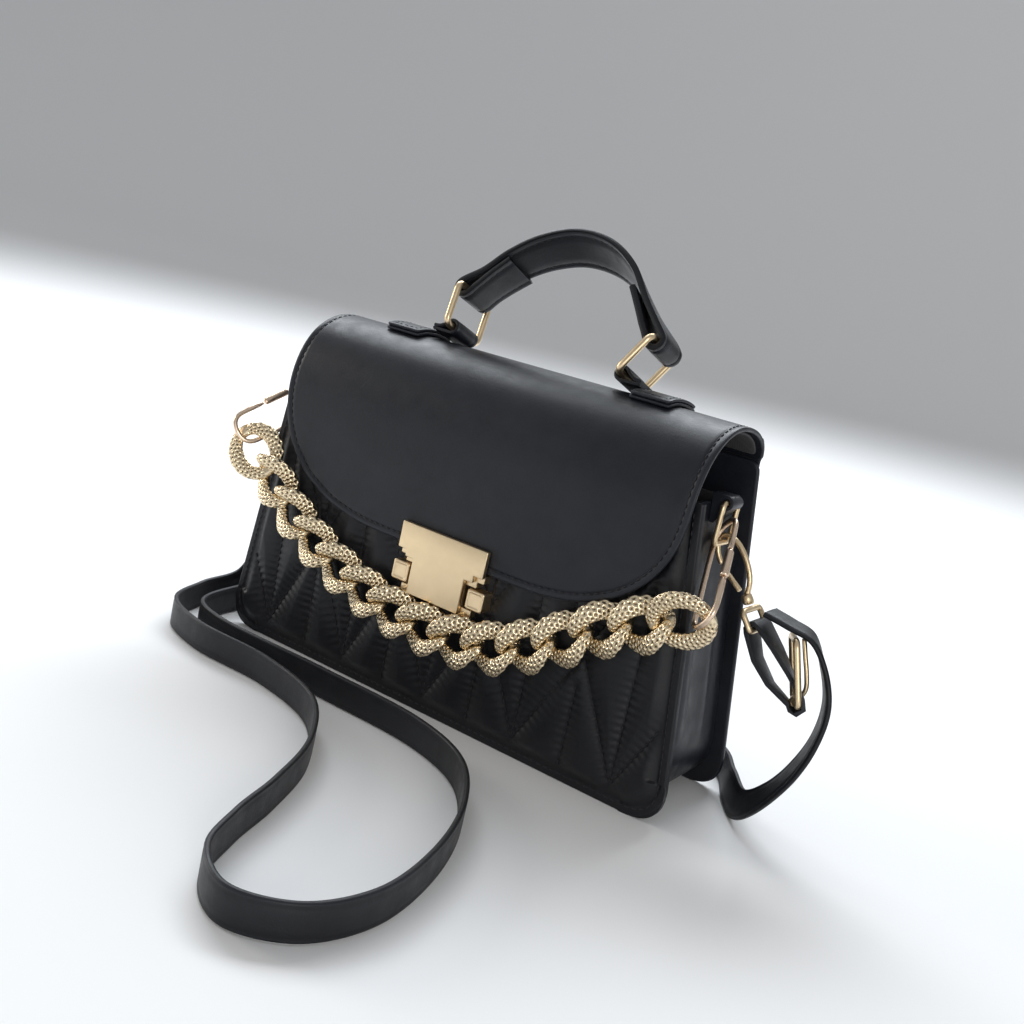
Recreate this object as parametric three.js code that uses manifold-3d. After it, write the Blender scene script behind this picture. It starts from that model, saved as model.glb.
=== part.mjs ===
// A small top-handle crossbody purse: a trapezoid leather box bag with a quilted front panel, a curved
// flap with a press lock, a cast curb chain across the front, a leather top handle on two wire rings, and
// a long flat shoulder strap on two snap hooks.
// Millimetres. +X is the bag's right seen from the front, the front faces -Y and +Z is up.
// The origin is the middle of the base, on the surface that the bag stands on.
import * as THREE from "three";
import { mergeVertices } from "three/addons/utils/BufferGeometryUtils.js";
import Module from "manifold-3d";

const wasm = await Module();
wasm.setup();

// ---------------------------------------------------------------- driving dimensions
const BASE_LENGTH = 218; // front panel along its bottom edge
const TOP_LENGTH = 186; // flap width, and the panels at the height of the seam
const SEAM_HEIGHT = 129; // where the flap meets the back panel
const FRONT_HEIGHT = 115; // top edge of the front panel, under the flap
const FRONT_Y = -26.8; // outer face of the front panel at the base
const FRONT_LEAN = -0.0233; // its slope, outwards with height
const BACK_Y = 27.4; // outer face of the back panel at the base
const BACK_LEAN = -0.0729; // its slope, inwards with height
const FRONT_TOP_CORNER = 5;
const FLAP_SEAM_DROP = 0.9; // the back panel ends this far under the flap's seam
const PANEL_CORNER = 15; // bottom corner radius of the panels
const FRONT_THICK = 2.6; // quilted leather on foam
const BACK_THICK = 2.2;
const BOARD_THICK = 1.2;
const GUSSET_RECESS = 5; // the gusset sits this far inside the panel edges
const GUSSET_CORNER = 24;
const GUSSET_THICK = 1.6;
const LINING_THICK = 0.9;
const GAP = 0.3; // clearance between pieces that touch

const FLAP_SKIN = 1.8; // outer leather of the flap
const FLAP_LINING = 1.0;
const FLAP_DROP = 65; // height of the flap's lower edge
const FLAP_CORNER_TOP = 115; // where its curved side begins
const FLAP_FLAT = 30; // half length of the flat stretch of its lower edge
const FLAP_SQUARENESS = 2.4; // exponent of the superellipse at its corners
const FLAP_FOLD_Z = 126; // the leather folds here when the front of the flap is lifted

const HANDLE_Y = 4; // middle of the handle tabs
const HANDLE_Z = 145.4; // axis of the bars in the tab loops
const HANDLE_LEAN = (-18 * Math.PI) / 180; // the handle lies back by this much
const HANDLE_BAR_X = 40;
const RING_WIRE = 1.4; // wire radius
const RING_LENGTH = 17; // between the axes of its two bars
const RING_WIDTH = 24.8; // between the axes of its two legs
const RING_CORNER = 3;
const HANDLE_WIDTH = 19.5;
const HANDLE_THICK = 2.6;
const LOOP_WIDTH = 17;

const STRAP_WIDTH = 12;
const STRAP_THICK = 2;

const DRING_Y = -7.5; // middle of the D-rings on the gusset
const DRING_Z = 100.5; // axis of the lower bar
const DRING_HEIGHT = 14.5;
const DRING_WIDTH = 13;
const SIDE_TAB_WIDTH = 9;
const DRING_WIRE = 1;

// ---------------------------------------------------------------- materials
const material = (color, roughness, metalness) =>
  new THREE.MeshStandardMaterial({ color, roughness, metalness });
const LEATHER = material(0x1b1c21, 0.5, 0);
const LINING = material(0x2a2422, 0.9, 0);
const BOARD = material(0x8a7a63, 0.95, 0);
const GOLD = material(0xd9c49a, 0.28, 1);
const ROSE_GOLD = material(0xdab79b, 0.25, 1);

// ---------------------------------------------------------------- small tools
const purse = new THREE.Group();
const vec = (x, y, z) => new THREE.Vector3(x, y, z);
const X_AXIS = vec(1, 0, 0);
const Y_AXIS = vec(0, 1, 0);
const Z_AXIS = vec(0, 0, 1);

function add(name, geometry, finish, parent = purse) {
  const mesh = new THREE.Mesh(geometry, finish);
  mesh.name = name;
  parent.add(mesh);
  return mesh;
}

function closedGeometry(positions, indices) {
  const at = (k) => vec(...positions.slice(3 * k, 3 * k + 3));
  let volume = 0;
  for (let k = 0; k < indices.length; k += 3) {
    volume += at(indices[k]).dot(at(indices[k + 1]).cross(at(indices[k + 2])));
  }
  const geometry = new THREE.BufferGeometry();
  geometry.setAttribute("position", new THREE.Float32BufferAttribute(positions, 3));
  geometry.setIndex(volume < 0 ? indices.slice().reverse() : indices);
  return geometry;
}

// A skin over a row of sections that all have the same number of points.
function loft(sections, closed = false) {
  const count = sections[0].length;
  const positions = sections.flat().flatMap((p) => [p.x, p.y, p.z]);
  const indices = [];
  const last = closed ? sections.length : sections.length - 1;
  for (let s = 0; s < last; s += 1) {
    const here = s * count;
    const next = ((s + 1) % sections.length) * count;
    for (let k = 0; k < count; k += 1) {
      const side = (k + 1) % count;
      indices.push(here + k, here + side, next + side, here + k, next + side, next + k);
    }
  }
  if (!closed) {
    const end = (sections.length - 1) * count;
    for (let k = 1; k < count - 1; k += 1) {
      indices.push(0, k + 1, k, end, end + k, end + k + 1);
    }
  }
  return closedGeometry(positions, indices);
}

// A plate over an outline in X and Z, between two faces given as functions of x and z.
function slab(drawn, nearFace, farFace) {
  const outline = THREE.ShapeUtils.isClockWise(drawn) ? drawn.slice().reverse() : drawn;
  const count = outline.length;
  const points = [...outline.map((p) => nearFace(p.x, p.y)), ...outline.map((p) => farFace(p.x, p.y))];
  const indices = [];
  for (const [a, b, c] of THREE.ShapeUtils.triangulateShape(outline, [])) {
    const turned = THREE.ShapeUtils.isClockWise([outline[a], outline[b], outline[c]]);
    const [p, q] = turned ? [c, b] : [b, c];
    indices.push(a, p, q, count + a, count + q, count + p);
  }
  for (let k = 0; k < count; k += 1) {
    const side = (k + 1) % count;
    indices.push(side, k, count + k, side, count + k, count + side);
  }
  return closedGeometry(points.flatMap((p) => [p.x, p.y, p.z]), indices);
}

// A polygon with rounded corners, from [x, z, radius] corners.
function rounded(corners, steps = 5) {
  const points = [];
  corners.forEach(([x, z, radius], k) => {
    const corner = new THREE.Vector2(x, z);
    const before = new THREE.Vector2(...corners[(k + corners.length - 1) % corners.length]);
    const after = new THREE.Vector2(...corners[(k + 1) % corners.length]);
    const a = corner.clone().add(before.sub(corner).setLength(radius));
    const b = corner.clone().add(after.sub(corner).setLength(radius));
    points.push(...(radius > 0 ? new THREE.QuadraticBezierCurve(a, corner, b).getPoints(steps) : [corner]));
  });
  return points;
}

function toSolid(geometry) {
  const bare = geometry.clone();
  bare.deleteAttribute("normal");
  bare.deleteAttribute("uv");
  const merged = mergeVertices(bare, 1e-5);
  return new wasm.Manifold(
    new wasm.Mesh({
      numProp: 3,
      vertProperties: new Float32Array(merged.attributes.position.array),
      triVerts: new Uint32Array(merged.index.array),
    }),
  );
}

function toGeometry(solid) {
  const mesh = solid.getMesh();
  const geometry = new THREE.BufferGeometry();
  geometry.setAttribute("position", new THREE.BufferAttribute(new Float32Array(mesh.vertProperties), 3));
  geometry.setIndex(new THREE.BufferAttribute(new Uint32Array(mesh.triVerts), 1));
  return geometry;
}

const cut = (body, tool) => toGeometry(toSolid(body).subtract(toSolid(tool)));
const common = (body, tool) => toGeometry(toSolid(body).intersect(toSolid(tool)));

const boxBetween = (low, high) =>
  new THREE.BoxGeometry(high.x - low.x, high.y - low.y, high.z - low.z).translate(
    (low.x + high.x) / 2,
    (low.y + high.y) / 2,
    (low.z + high.z) / 2,
  );

// ---------------------------------------------------------------- sections and sweeps
const circle = (radius, sides) =>
  Array.from({ length: sides }, (_, k) => {
    const angle = (2 * Math.PI * (k + 0.5)) / sides;
    return [radius * Math.cos(angle), radius * Math.sin(angle)];
  });

const flatSection = (width, thick) => [
  [-width / 2, -thick / 2],
  [width / 2, -thick / 2],
  [width / 2, thick / 2],
  [-width / 2, thick / 2],
];

const strapSection = (width, thick) => {
  const e = thick * 0.3;
  return [
    [-width / 2, -thick / 2 + e],
    [-width / 2 + e, -thick / 2],
    [width / 2 - e, -thick / 2],
    [width / 2, -thick / 2 + e],
    [width / 2, thick / 2 - e],
    [width / 2 - e, thick / 2],
    [-width / 2 + e, thick / 2],
    [-width / 2, thick / 2 - e],
  ];
};

// Carries a section along points. `across` gives the direction of the section's first axis at each one.
function sweep(points, across, section, closed = false) {
  const count = points.length;
  const sections = points.map((point, k) => {
    const before = points[closed ? (k + count - 1) % count : Math.max(k - 1, 0)];
    const after = points[closed ? (k + 1) % count : Math.min(k + 1, count - 1)];
    const along = after.clone().sub(before).normalize();
    const first = across[k].clone().addScaledVector(along, -across[k].dot(along)).normalize();
    const second = along.clone().cross(first);
    const shape = typeof section === "function" ? section(k) : section;
    return shape.map(([u, v]) => point.clone().addScaledVector(first, u).addScaledVector(second, v));
  });
  return loft(sections, closed);
}

// A closed wire ring: a stadium or rounded rectangle around `centre`, long along `a` and wide along `b`.
function wireRing(centre, a, b, length, width, corner, wire, options = {}) {
  const { sides = 6, steps = 3 } = options;
  const l = length / 2;
  const w = width / 2;
  const outline = rounded([[-l, -w, corner], [l, -w, corner], [l, w, corner], [-l, w, corner]], steps);
  const points = outline.map((p) => centre.clone().addScaledVector(a, p.x).addScaledVector(b, p.y));
  const normal = a.clone().cross(b).normalize();
  return sweep(points, points.map(() => normal), circle(wire, sides), true);
}

// ---------------------------------------------------------------- body of the bag
const halfWidth = (z) => BASE_LENGTH / 2 - ((BASE_LENGTH - TOP_LENGTH) / 2 / SEAM_HEIGHT) * z;
const frontFace = (z) => FRONT_Y + FRONT_LEAN * z;
const backFace = (z) => BACK_Y + BACK_LEAN * z;

const panelOutline = (top, inset, corner, low = inset, topCorner = 4) =>
  rounded([
    [-halfWidth(low) + inset, low, corner],
    [halfWidth(low) - inset, low, corner],
    [halfWidth(top) - inset, top, topCorner],
    [-halfWidth(top) + inset, top, topCorner],
  ]);

const plateBetween = (outline, nearY, farY) =>
  slab(outline, (x, z) => vec(x, nearY(z), z), (x, z) => vec(x, farY(z), z));

const frontInner = (z) => frontFace(z) + FRONT_THICK;
const backInner = (z) => backFace(z) - BACK_THICK;
const boardInset = GUSSET_RECESS + GUSSET_THICK + 2 * GAP;
const frontBoardInner = (z) => frontInner(z) + GAP + BOARD_THICK;
const backBoardInner = (z) => backInner(z) - GAP - BOARD_THICK;

function bodyShell() {
  const front = panelOutline(FRONT_HEIGHT, 0, PANEL_CORNER, 0, FRONT_TOP_CORNER);
  const back = panelOutline(SEAM_HEIGHT - FLAP_SEAM_DROP, 0, PANEL_CORNER);
  add("front_panel", plateBetween(front, frontFace, frontInner), LEATHER);
  add("back_panel", plateBetween(back, backInner, backFace), LEATHER);
  const boardTop = FRONT_HEIGHT - 4;
  add(
    "front_board",
    plateBetween(panelOutline(boardTop, boardInset, 18), (z) => frontInner(z) + GAP, frontBoardInner),
    BOARD,
  );
  add(
    "back_board",
    plateBetween(panelOutline(boardTop, boardInset, 18), backBoardInner, (z) => backInner(z) - GAP),
    BOARD,
  );
}

// The gusset is one strip: up the left side, under the base and up the right side.
function gusset() {
  const top = FRONT_HEIGHT - 1;
  const outline = rounded(
    [
      [-halfWidth(top) + GUSSET_RECESS, top, 0],
      [-halfWidth(0) + GUSSET_RECESS, 0, GUSSET_CORNER],
      [halfWidth(0) - GUSSET_RECESS, 0, GUSSET_CORNER],
      [halfWidth(top) - GUSSET_RECESS, top, 0],
    ],
    6,
  );
  const sections = outline.map((p, k) => {
    const before = outline[Math.max(k - 1, 0)];
    const after = outline[Math.min(k + 1, outline.length - 1)];
    const along = after.clone().sub(before).normalize();
    const inX = p.x - along.y * GUSSET_THICK;
    const inZ = k === 0 || k === outline.length - 1 ? p.y : p.y + along.x * GUSSET_THICK;
    const y0 = (z) => frontInner(z) + GAP;
    const y1 = (z) => backInner(z) - GAP;
    return [vec(p.x, y0(p.y), p.y), vec(p.x, y1(p.y), p.y), vec(inX, y1(inZ), inZ), vec(inX, y0(inZ), inZ)];
  });
  add("gusset", loft(sections), LEATHER);
}

function insides() {
  const boardLow = GUSSET_THICK + GAP;
  add("base_board", boxBetween(vec(-80, -19, boardLow), vec(80, 19, boardLow + 2)), BOARD);
  const inset = boardInset + 1.4;
  const top = FRONT_HEIGHT - 2;
  const low = boardLow + 2 + GAP;
  const outer = plateBetween(
    panelOutline(top, inset, 16, low),
    (z) => frontBoardInner(z) + GAP,
    (z) => backBoardInner(z) - GAP,
  );
  const hollow = plateBetween(
    panelOutline(top + 10, inset + LINING_THICK, 15, low + LINING_THICK),
    (z) => frontBoardInner(z) + GAP + LINING_THICK,
    (z) => backBoardInner(z) - GAP - LINING_THICK,
  );
  add("lining", cut(outer, hollow), LINING);
  const wall = (z) => backBoardInner(z) - 2 * GAP - LINING_THICK;
  const pocket = rounded([[-56, 34, 5], [56, 34, 5], [56, 98, 2], [-56, 98, 2]], 3);
  add("slip_pocket", plateBetween(pocket, (z) => wall(z) - 0.9, wall), LINING);
}

// ---------------------------------------------------------------- flap
// Outer face of the flap, in Y and Z: up from the seam, over the top and down the front.
const flapCurve = new THREE.SplineCurve(
  [
    [19.4, 129.4],
    [17.4, 134.4],
    [11, 138.7],
    [2, 141],
    [-8, 141.2],
    [-17, 138.6],
    [-25, 133],
    [-30.6, 124.5],
    [-33.4, 114],
    [-33.8, 100],
    [-33.2, 82],
    [-32.6, FLAP_DROP],
  ].map(([y, z]) => new THREE.Vector2(y, z)),
);

function flapAt(t) {
  const point = flapCurve.getPoint(t);
  const along = flapCurve.getTangent(t);
  return { point, out: new THREE.Vector2(-along.y, along.x).negate() };
}

// The curve's parameter where its front reaches a height.
function flapParameter(z) {
  let low = 0.4;
  let high = 1;
  for (let k = 0; k < 40; k += 1) {
    const middle = (low + high) / 2;
    if (flapCurve.getPoint(middle).y > z) low = middle;
    else high = middle;
  }
  return (low + high) / 2;
}

// A layer of the flap between two offsets from its outer face, over a stretch of the curve.
function flapLayer(from, to, steps, outer, inner, halfX) {
  const upper = [];
  const lower = [];
  for (let k = 0; k <= steps; k += 1) {
    const { point, out } = flapAt(from + ((to - from) * k) / steps);
    upper.push(point.clone().addScaledVector(out, outer));
    lower.push(point.clone().addScaledVector(out, inner));
  }
  const outline = [...upper, ...lower.reverse()];
  return slab(outline, (y, z) => vec(-halfX, y, z), (y, z) => vec(halfX, y, z));
}

// The rounded outline of the flap's front, drawn in by `inset` all round.
function flapOutline(inset, steps = 9) {
  const cornerX = TOP_LENGTH / 2 - FLAP_FLAT - inset;
  const cornerZ = FLAP_CORNER_TOP - FLAP_DROP - inset;
  const side = [];
  for (let k = 0; k <= steps; k += 1) {
    const angle = (Math.PI / 2) * (k / steps);
    const x = FLAP_FLAT + cornerX * Math.cos(angle) ** (2 / FLAP_SQUARENESS);
    const z = FLAP_CORNER_TOP - cornerZ * Math.sin(angle) ** (2 / FLAP_SQUARENESS);
    side.push(new THREE.Vector2(x, z));
  }
  const left = side.map((p) => new THREE.Vector2(-p.x, p.y)).reverse();
  const edge = TOP_LENGTH / 2 - inset;
  return [new THREE.Vector2(edge, 160), ...side, ...left, new THREE.Vector2(-edge, 160)];
}

function flap() {
  const fold = flapParameter(FLAP_FOLD_Z);
  const foldGap = 0.002;
  const half = TOP_LENGTH / 2;
  const skinInner = -FLAP_SKIN;
  const liningOuter = -FLAP_SKIN - GAP;
  const liningInner = liningOuter - FLAP_LINING;
  add("flap_top", flapLayer(0, fold - foldGap, 12, 0, skinInner, half), LEATHER);
  add("flap_top_lining", flapLayer(0.02, fold - foldGap, 11, liningOuter, liningInner, half - 2.5), LINING);
  const prism = (inset) => {
    const outline = flapOutline(inset);
    return slab(outline, (x, z) => vec(x, -60, z), (x, z) => vec(x, -10, z));
  };
  const front = (outer, inner, inset) =>
    common(flapLayer(fold + foldGap, 1, 9, outer, inner, half + 5), prism(inset));
  add("flap_front", front(0, skinInner, 0), LEATHER);
  add("flap_front_lining", front(liningOuter, liningInner, 2.5), LINING);
}

// ---------------------------------------------------------------- press lock
const LOCK_TOP = 74;
const LOCK_LOW = 47;
const LOCK_BAND_LOW = 63.5;
const LOCK_SHOULDER = 60.8;
const LOCK_HALF = 20.35;
const LOCK_PLATE_Y = [-35.4, -33.2];

function lock() {
  const plate = [
    [-LOCK_HALF, LOCK_TOP],
    [-LOCK_HALF, LOCK_BAND_LOW],
    [-16.3, LOCK_BAND_LOW],
    [-16.3, LOCK_SHOULDER],
    [-12.4, LOCK_SHOULDER],
    [-12.4, LOCK_LOW],
    [12.4, LOCK_LOW],
    [12.4, LOCK_SHOULDER],
    [16.3, LOCK_SHOULDER],
    [16.3, LOCK_BAND_LOW],
    [LOCK_HALF, LOCK_BAND_LOW],
    [LOCK_HALF, LOCK_TOP],
  ].map((p) => new THREE.Vector2(...p));
  const [outer, inner] = LOCK_PLATE_Y;
  add("lock_plate", plateBetween(plate, () => outer, () => inner), GOLD);
  const base = [
    [-20, 64.2],
    [-20, 61],
    [-17, 61],
    [-17, 58.6],
    [-12, 58.6],
    [-12, 49.6],
    [-17, 49.6],
    [-17, 46.5],
    [17, 46.5],
    [17, 49.6],
    [12, 49.6],
    [12, 58.6],
    [17, 58.6],
    [17, 61],
    [20, 61],
    [20, 64.2],
  ].map((p) => new THREE.Vector2(...p));
  add("lock_base", plateBetween(base, () => inner + GAP, (z) => frontFace(z) - GAP), GOLD);
  for (const [name, side] of [["left", -1], ["right", 1]]) {
    const outline = rounded([[14.2, 50.2, 0.8], [22, 50.2, 0.8], [22, 58, 0.8], [14.2, 58, 0.8]], 1);
    const button = outline.map((p) => new THREE.Vector2(side * p.x, p.y));
    add(`lock_button_${name}`, plateBetween(button, () => -34, (z) => frontFace(z) - GAP), GOLD);
  }
}

// ---------------------------------------------------------------- top handle
const onHandle = new THREE.Group();
onHandle.position.set(0, HANDLE_Y, HANDLE_Z);
onHandle.rotation.x = HANDLE_LEAN;
purse.add(onHandle);

// Where each ring's upper bar is, in the handle's own plane.
const LEFT_TOP = vec(-HANDLE_BAR_X - 1.4, 0, Math.sqrt(RING_LENGTH ** 2 - 1.4 ** 2));
const RIGHT_TOP = vec(HANDLE_BAR_X + 7.6, 0, Math.sqrt(RING_LENGTH ** 2 - 7.6 ** 2));

function handleRings() {
  for (const [name, side, top] of [["left", -1, LEFT_TOP], ["right", 1, RIGHT_TOP]]) {
    const low = vec(side * HANDLE_BAR_X, 0, 0);
    const a = top.clone().sub(low).normalize();
    const centre = top.clone().add(low).multiplyScalar(0.5);
    const ring = wireRing(centre, a, Y_AXIS, RING_LENGTH, RING_WIDTH, RING_CORNER, RING_WIRE);
    add(`handle_ring_${name}`, ring, GOLD, onHandle);
  }
}

// The leather tabs are stitched flat on the flap; their loops hold the rings and turn with the handle.
const TAB_OUTER_X = 66;
const TAB_INNER_X = 49;
const LOOP_BORE = RING_WIRE + 0.45;
const LOOP_OUTER = LOOP_BORE + 1.5;

function handleTabs() {
  for (const [name, side] of [["left", -1], ["right", 1]]) {
    const from = 0.19;
    const to = 0.405;
    const layer = flapLayer(from, to, 5, 3.1, 0.3, (TAB_OUTER_X - TAB_INNER_X) / 2);
    layer.translate((side * (TAB_OUTER_X + TAB_INNER_X)) / 2, 0, 0);
    add(`handle_tab_${name}`, layer, LEATHER);
    const start = TAB_INNER_X - 0.5 - HANDLE_BAR_X;
    const arc = (radius, first, last, steps) =>
      Array.from({ length: steps + 1 }, (_, k) => {
        const angle = first + ((last - first) * k) / steps;
        return new THREE.Vector2(radius * Math.cos(angle), radius * Math.sin(angle));
      });
    const outline = [
      new THREE.Vector2(start, -LOOP_OUTER + 0.4),
      new THREE.Vector2(start, -LOOP_OUTER + 2.9),
      ...arc(LOOP_OUTER, 0.35, 1.5 * Math.PI, 8),
    ];
    const shape = new THREE.Shape(outline);
    shape.holes.push(new THREE.Path(arc(LOOP_BORE, 0, 2 * Math.PI, 10).slice(0, -1)));
    const loop = new THREE.ExtrudeGeometry(shape, { depth: LOOP_WIDTH, bevelEnabled: false, steps: 1 });
    loop.translate(0, 0, -LOOP_WIDTH / 2).rotateX(Math.PI / 2);
    if (side < 0) loop.rotateZ(Math.PI);
    loop.translate(side * HANDLE_BAR_X, 0, 0);
    add(`handle_loop_${name}`, loop, LEATHER, onHandle);
  }
}

// The handle band: folded round each upper bar and arched between them, twisting back towards its top.
const HANDLE_ARCH = [
  [-35.5, 25],
  [-27, 33.5],
  [-16, 41],
  [-1.5, 46],
  [13.5, 45],
  [27, 38.5],
  [38.5, 27.5],
];
const HANDLE_TWIST = (-26 * Math.PI) / 180;
const BAR_FOLD = RING_WIRE + 0.5 + HANDLE_THICK / 2;
const FOLD_ANGLES = [-35, -75, -115, -155, -195, -230];
const TAIL = [
  [16.5, 14.5],
  [10.5, 7.5],
  [5.4, 1.9],
];

// The points round one upper bar, from the end of the tail under the band to where the arch begins.
function bandFold(top, side) {
  const tail = TAIL.map(([x, z]) => vec(top.x - side * x, 0, top.z + z));
  const turn = FOLD_ANGLES.map((degrees) => {
    const angle = THREE.MathUtils.degToRad(degrees);
    return vec(top.x - side * BAR_FOLD * Math.cos(angle), 0, top.z + BAR_FOLD * Math.sin(angle));
  });
  return [...tail, ...turn];
}

function handleBand() {
  const arch = HANDLE_ARCH.map(([x, z]) => vec(x, 0, z));
  const path = [...bandFold(LEFT_TOP, -1), ...arch, ...bandFold(RIGHT_TOP, 1).reverse()];
  const curve = new THREE.CatmullRomCurve3(path, false, "centripetal");
  const points = curve.getPoints(56);
  const across = points.map((p) => {
    const rise = THREE.MathUtils.clamp((p.z - RING_LENGTH - 3) / (46 - RING_LENGTH), 0, 1);
    return Y_AXIS.clone().applyAxisAngle(X_AXIS, HANDLE_TWIST * rise);
  });
  add("handle_band", sweep(points, across, flatSection(HANDLE_WIDTH, HANDLE_THICK)), LEATHER, onHandle);
}

// ---------------------------------------------------------------- side rings and their tabs
const gussetX = (z) => halfWidth(z) - GUSSET_RECESS;
const DRING_X = gussetX(DRING_Z) + 4.2;

function sideRings() {
  for (const [name, side] of [["left", -1], ["right", 1]]) {
    const centre = vec(side * DRING_X, DRING_Y, DRING_Z + DRING_HEIGHT / 2);
    const ring = wireRing(centre, Z_AXIS, Y_AXIS, DRING_HEIGHT, DRING_WIDTH, 2.4, DRING_WIRE, { steps: 2 });
    add(`side_ring_${name}`, ring, GOLD);
    const barZ = DRING_Z + DRING_HEIGHT;
    const bore = DRING_WIRE + 0.35;
    const outer = bore + 1.2;
    const wall = (drop) => gussetX(barZ - drop) + GAP - DRING_X;
    const shape = new THREE.Shape();
    shape.moveTo(wall(8), -8);
    shape.lineTo(wall(8) + 1.6, -8);
    shape.lineTo(0.6, -outer);
    shape.absarc(0, 0, outer, -Math.PI / 2 + 0.3, Math.PI / 2, false);
    shape.lineTo(wall(-outer), outer);
    const hole = new THREE.Path();
    hole.absarc(0, 0, bore, 0, 2 * Math.PI, true);
    shape.holes.push(hole);
    const extrusion = { depth: SIDE_TAB_WIDTH, bevelEnabled: false, steps: 1, curveSegments: 5 };
    const tab = new THREE.ExtrudeGeometry(shape, extrusion);
    tab.translate(0, 0, -SIDE_TAB_WIDTH / 2).rotateX(Math.PI / 2);
    tab.translate(DRING_X, DRING_Y, barZ);
    if (side < 0) tab.rotateZ(Math.PI).translate(0, 2 * DRING_Y, 0);
    add(`side_tab_${name}`, tab, LEATHER);
  }
}

// ---------------------------------------------------------------- chain across the front
const LINK_PITCH = 15.4;
const LINK_LENGTH = 21; // centre line, end to end
const LINK_WIDTH = 12.6;
const LINK_TWIST = (53 * Math.PI) / 180; // each end of a curb link is turned this far
const END_LINK_PITCH = 14.9; // from the last regular link to the end link
// Where each oval ring holds its end link: outwards along the link, in front of it, and up in its plane.
const END_LINK_HOLD = { left: [10, 3.6, -2], right: [9, 3.6, 0] };
const END_LINK_TURN = (28 * Math.PI) / 180;
const CHAIN_ROUTE = [
  [-88.5, -37, 70],
  [-75, -36, 59.2],
  [-57.5, -35.8, 49.6],
  [-36, -35.8, 41.8],
  [-13, -36, 37.4],
  [10, -36, 36.6],
  [33, -35.8, 41],
  [54, -35.8, 51.2],
  [72, -35.8, 62.8],
  [87, -36, 70.2],
];

// A link of a curb chain: an oval whose two ends are turned against each other.
function curbLink(centre, along, face, spec) {
  const { length, width, turn, steps, sideWide, endWide, thick } = spec;
  const side = face.clone().cross(along).normalize();
  const out = along.clone().cross(side).normalize();
  const at = (t) => {
    const angle = turn(Math.cos(t));
    const lateral = (width / 2) * Math.sin(t);
    return centre
      .clone()
      .addScaledVector(along, (length / 2) * Math.cos(t))
      .addScaledVector(side, lateral * Math.cos(angle))
      .addScaledVector(out, lateral * Math.sin(angle));
  };
  const sections = [];
  for (let k = 0; k < steps; k += 1) {
    const t = (2 * Math.PI * k) / steps;
    const here = at(t);
    const forward = at(t + 0.02).sub(at(t - 0.02)).normalize();
    const outward = here.clone().sub(centre);
    outward.addScaledVector(forward, -outward.dot(forward)).normalize();
    const across = forward.clone().cross(outward);
    const wide = THREE.MathUtils.lerp(endWide, sideWide, Math.sin(t) ** 2);
    sections.push(
      circle(1, 6).map(([u, v]) =>
        here.clone().addScaledVector(outward, wide * u * 1.07).addScaledVector(across, thick * v * 1.07),
      ),
    );
  }
  return loft(sections, true);
}

function chain() {
  const route = new THREE.CatmullRomCurve3(CHAIN_ROUTE.map((p) => vec(...p)), false, "centripetal");
  const spaces = Math.round(route.getLength() / LINK_PITCH);
  const front = vec(0, -1, 0);
  const regular = {
    length: LINK_LENGTH,
    width: LINK_WIDTH,
    turn: (c) => -LINK_TWIST * c,
    steps: 14,
    sideWide: 3.1,
    endWide: 1.8,
    thick: 1.77,
  };
  for (let k = 0; k <= spaces; k += 1) {
    const name = `chain_link_${String(k + 1).padStart(2, "0")}`;
    add(name, curbLink(route.getPointAt(k / spaces), route.getTangentAt(k / spaces), front, regular), GOLD);
  }
  const ends = {};
  const wide = { ...regular, length: 20, width: 17, sideWide: 3.2, endWide: 2.4, thick: 1.7 };
  for (const [name, side, k] of [["left", -1, 0], ["right", 1, 1]]) {
    const tangent = route.getTangentAt(k);
    const centre = route.getPointAt(k).addScaledVector(tangent, side * END_LINK_PITCH);
    const spec = { ...wide, turn: () => side * END_LINK_TURN };
    add(`chain_end_${name}`, curbLink(centre, tangent, front, spec), GOLD);
    const up = front.clone().cross(tangent).normalize();
    const plane = up.applyAxisAngle(tangent, side * END_LINK_TURN);
    const ahead = tangent.clone().cross(plane).normalize();
    const [outward, before, upward] = END_LINK_HOLD[name];
    ends[name] = centre
      .addScaledVector(tangent, side * outward)
      .addScaledVector(ahead, before)
      .addScaledVector(plane, upward);
  }
  return ends;
}

// The oval spring rings that hang the chain on the side rings, each with a gate in its outer side.
const OVAL_TOP = vec(DRING_X, DRING_Y + 1, DRING_Z + 7);
const OVAL_WIDTH = 13;
const OVAL_WIRE = 1.2;
const OVAL_ROLL = (-25 * Math.PI) / 180;
const OVAL_GATE_HALF = 6;

function ovalRings(chainEnds) {
  for (const [name, side] of [["left", -1], ["right", 1]]) {
    const top = vec(side * OVAL_TOP.x, OVAL_TOP.y, OVAL_TOP.z);
    const low = chainEnds[name];
    const length = low.distanceTo(top);
    const a = low.clone().sub(top).normalize();
    const level = vec(-a.y, a.x, 0).normalize();
    const b = level.cross(a).normalize().applyAxisAngle(a, side * OVAL_ROLL);
    const centre = top.clone().add(low).multiplyScalar(0.5);
    const whole = wireRing(centre, a, b, length, OVAL_WIDTH, OVAL_WIDTH / 2 - 0.1, OVAL_WIRE, { steps: 5 });
    const gateSide = b.y < 0 ? b : b.clone().negate();
    const gateCentre = centre.clone().addScaledVector(gateSide, OVAL_WIDTH / 2);
    const window = new THREE.BoxGeometry(2 * OVAL_GATE_HALF, 5, 5);
    const normal = a.clone().cross(b);
    window.applyMatrix4(new THREE.Matrix4().makeBasis(a, b, normal).setPosition(gateCentre));
    add(`oval_ring_${name}`, cut(whole, window), ROSE_GOLD);
    const reach = OVAL_GATE_HALF - GAP;
    const gatePoints = [-reach, reach].map((k) => gateCentre.clone().addScaledVector(a, k));
    add(`oval_gate_${name}`, sweep(gatePoints, [normal, normal], circle(OVAL_WIRE * 0.95, 8)), ROSE_GOLD);
  }
}

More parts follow.
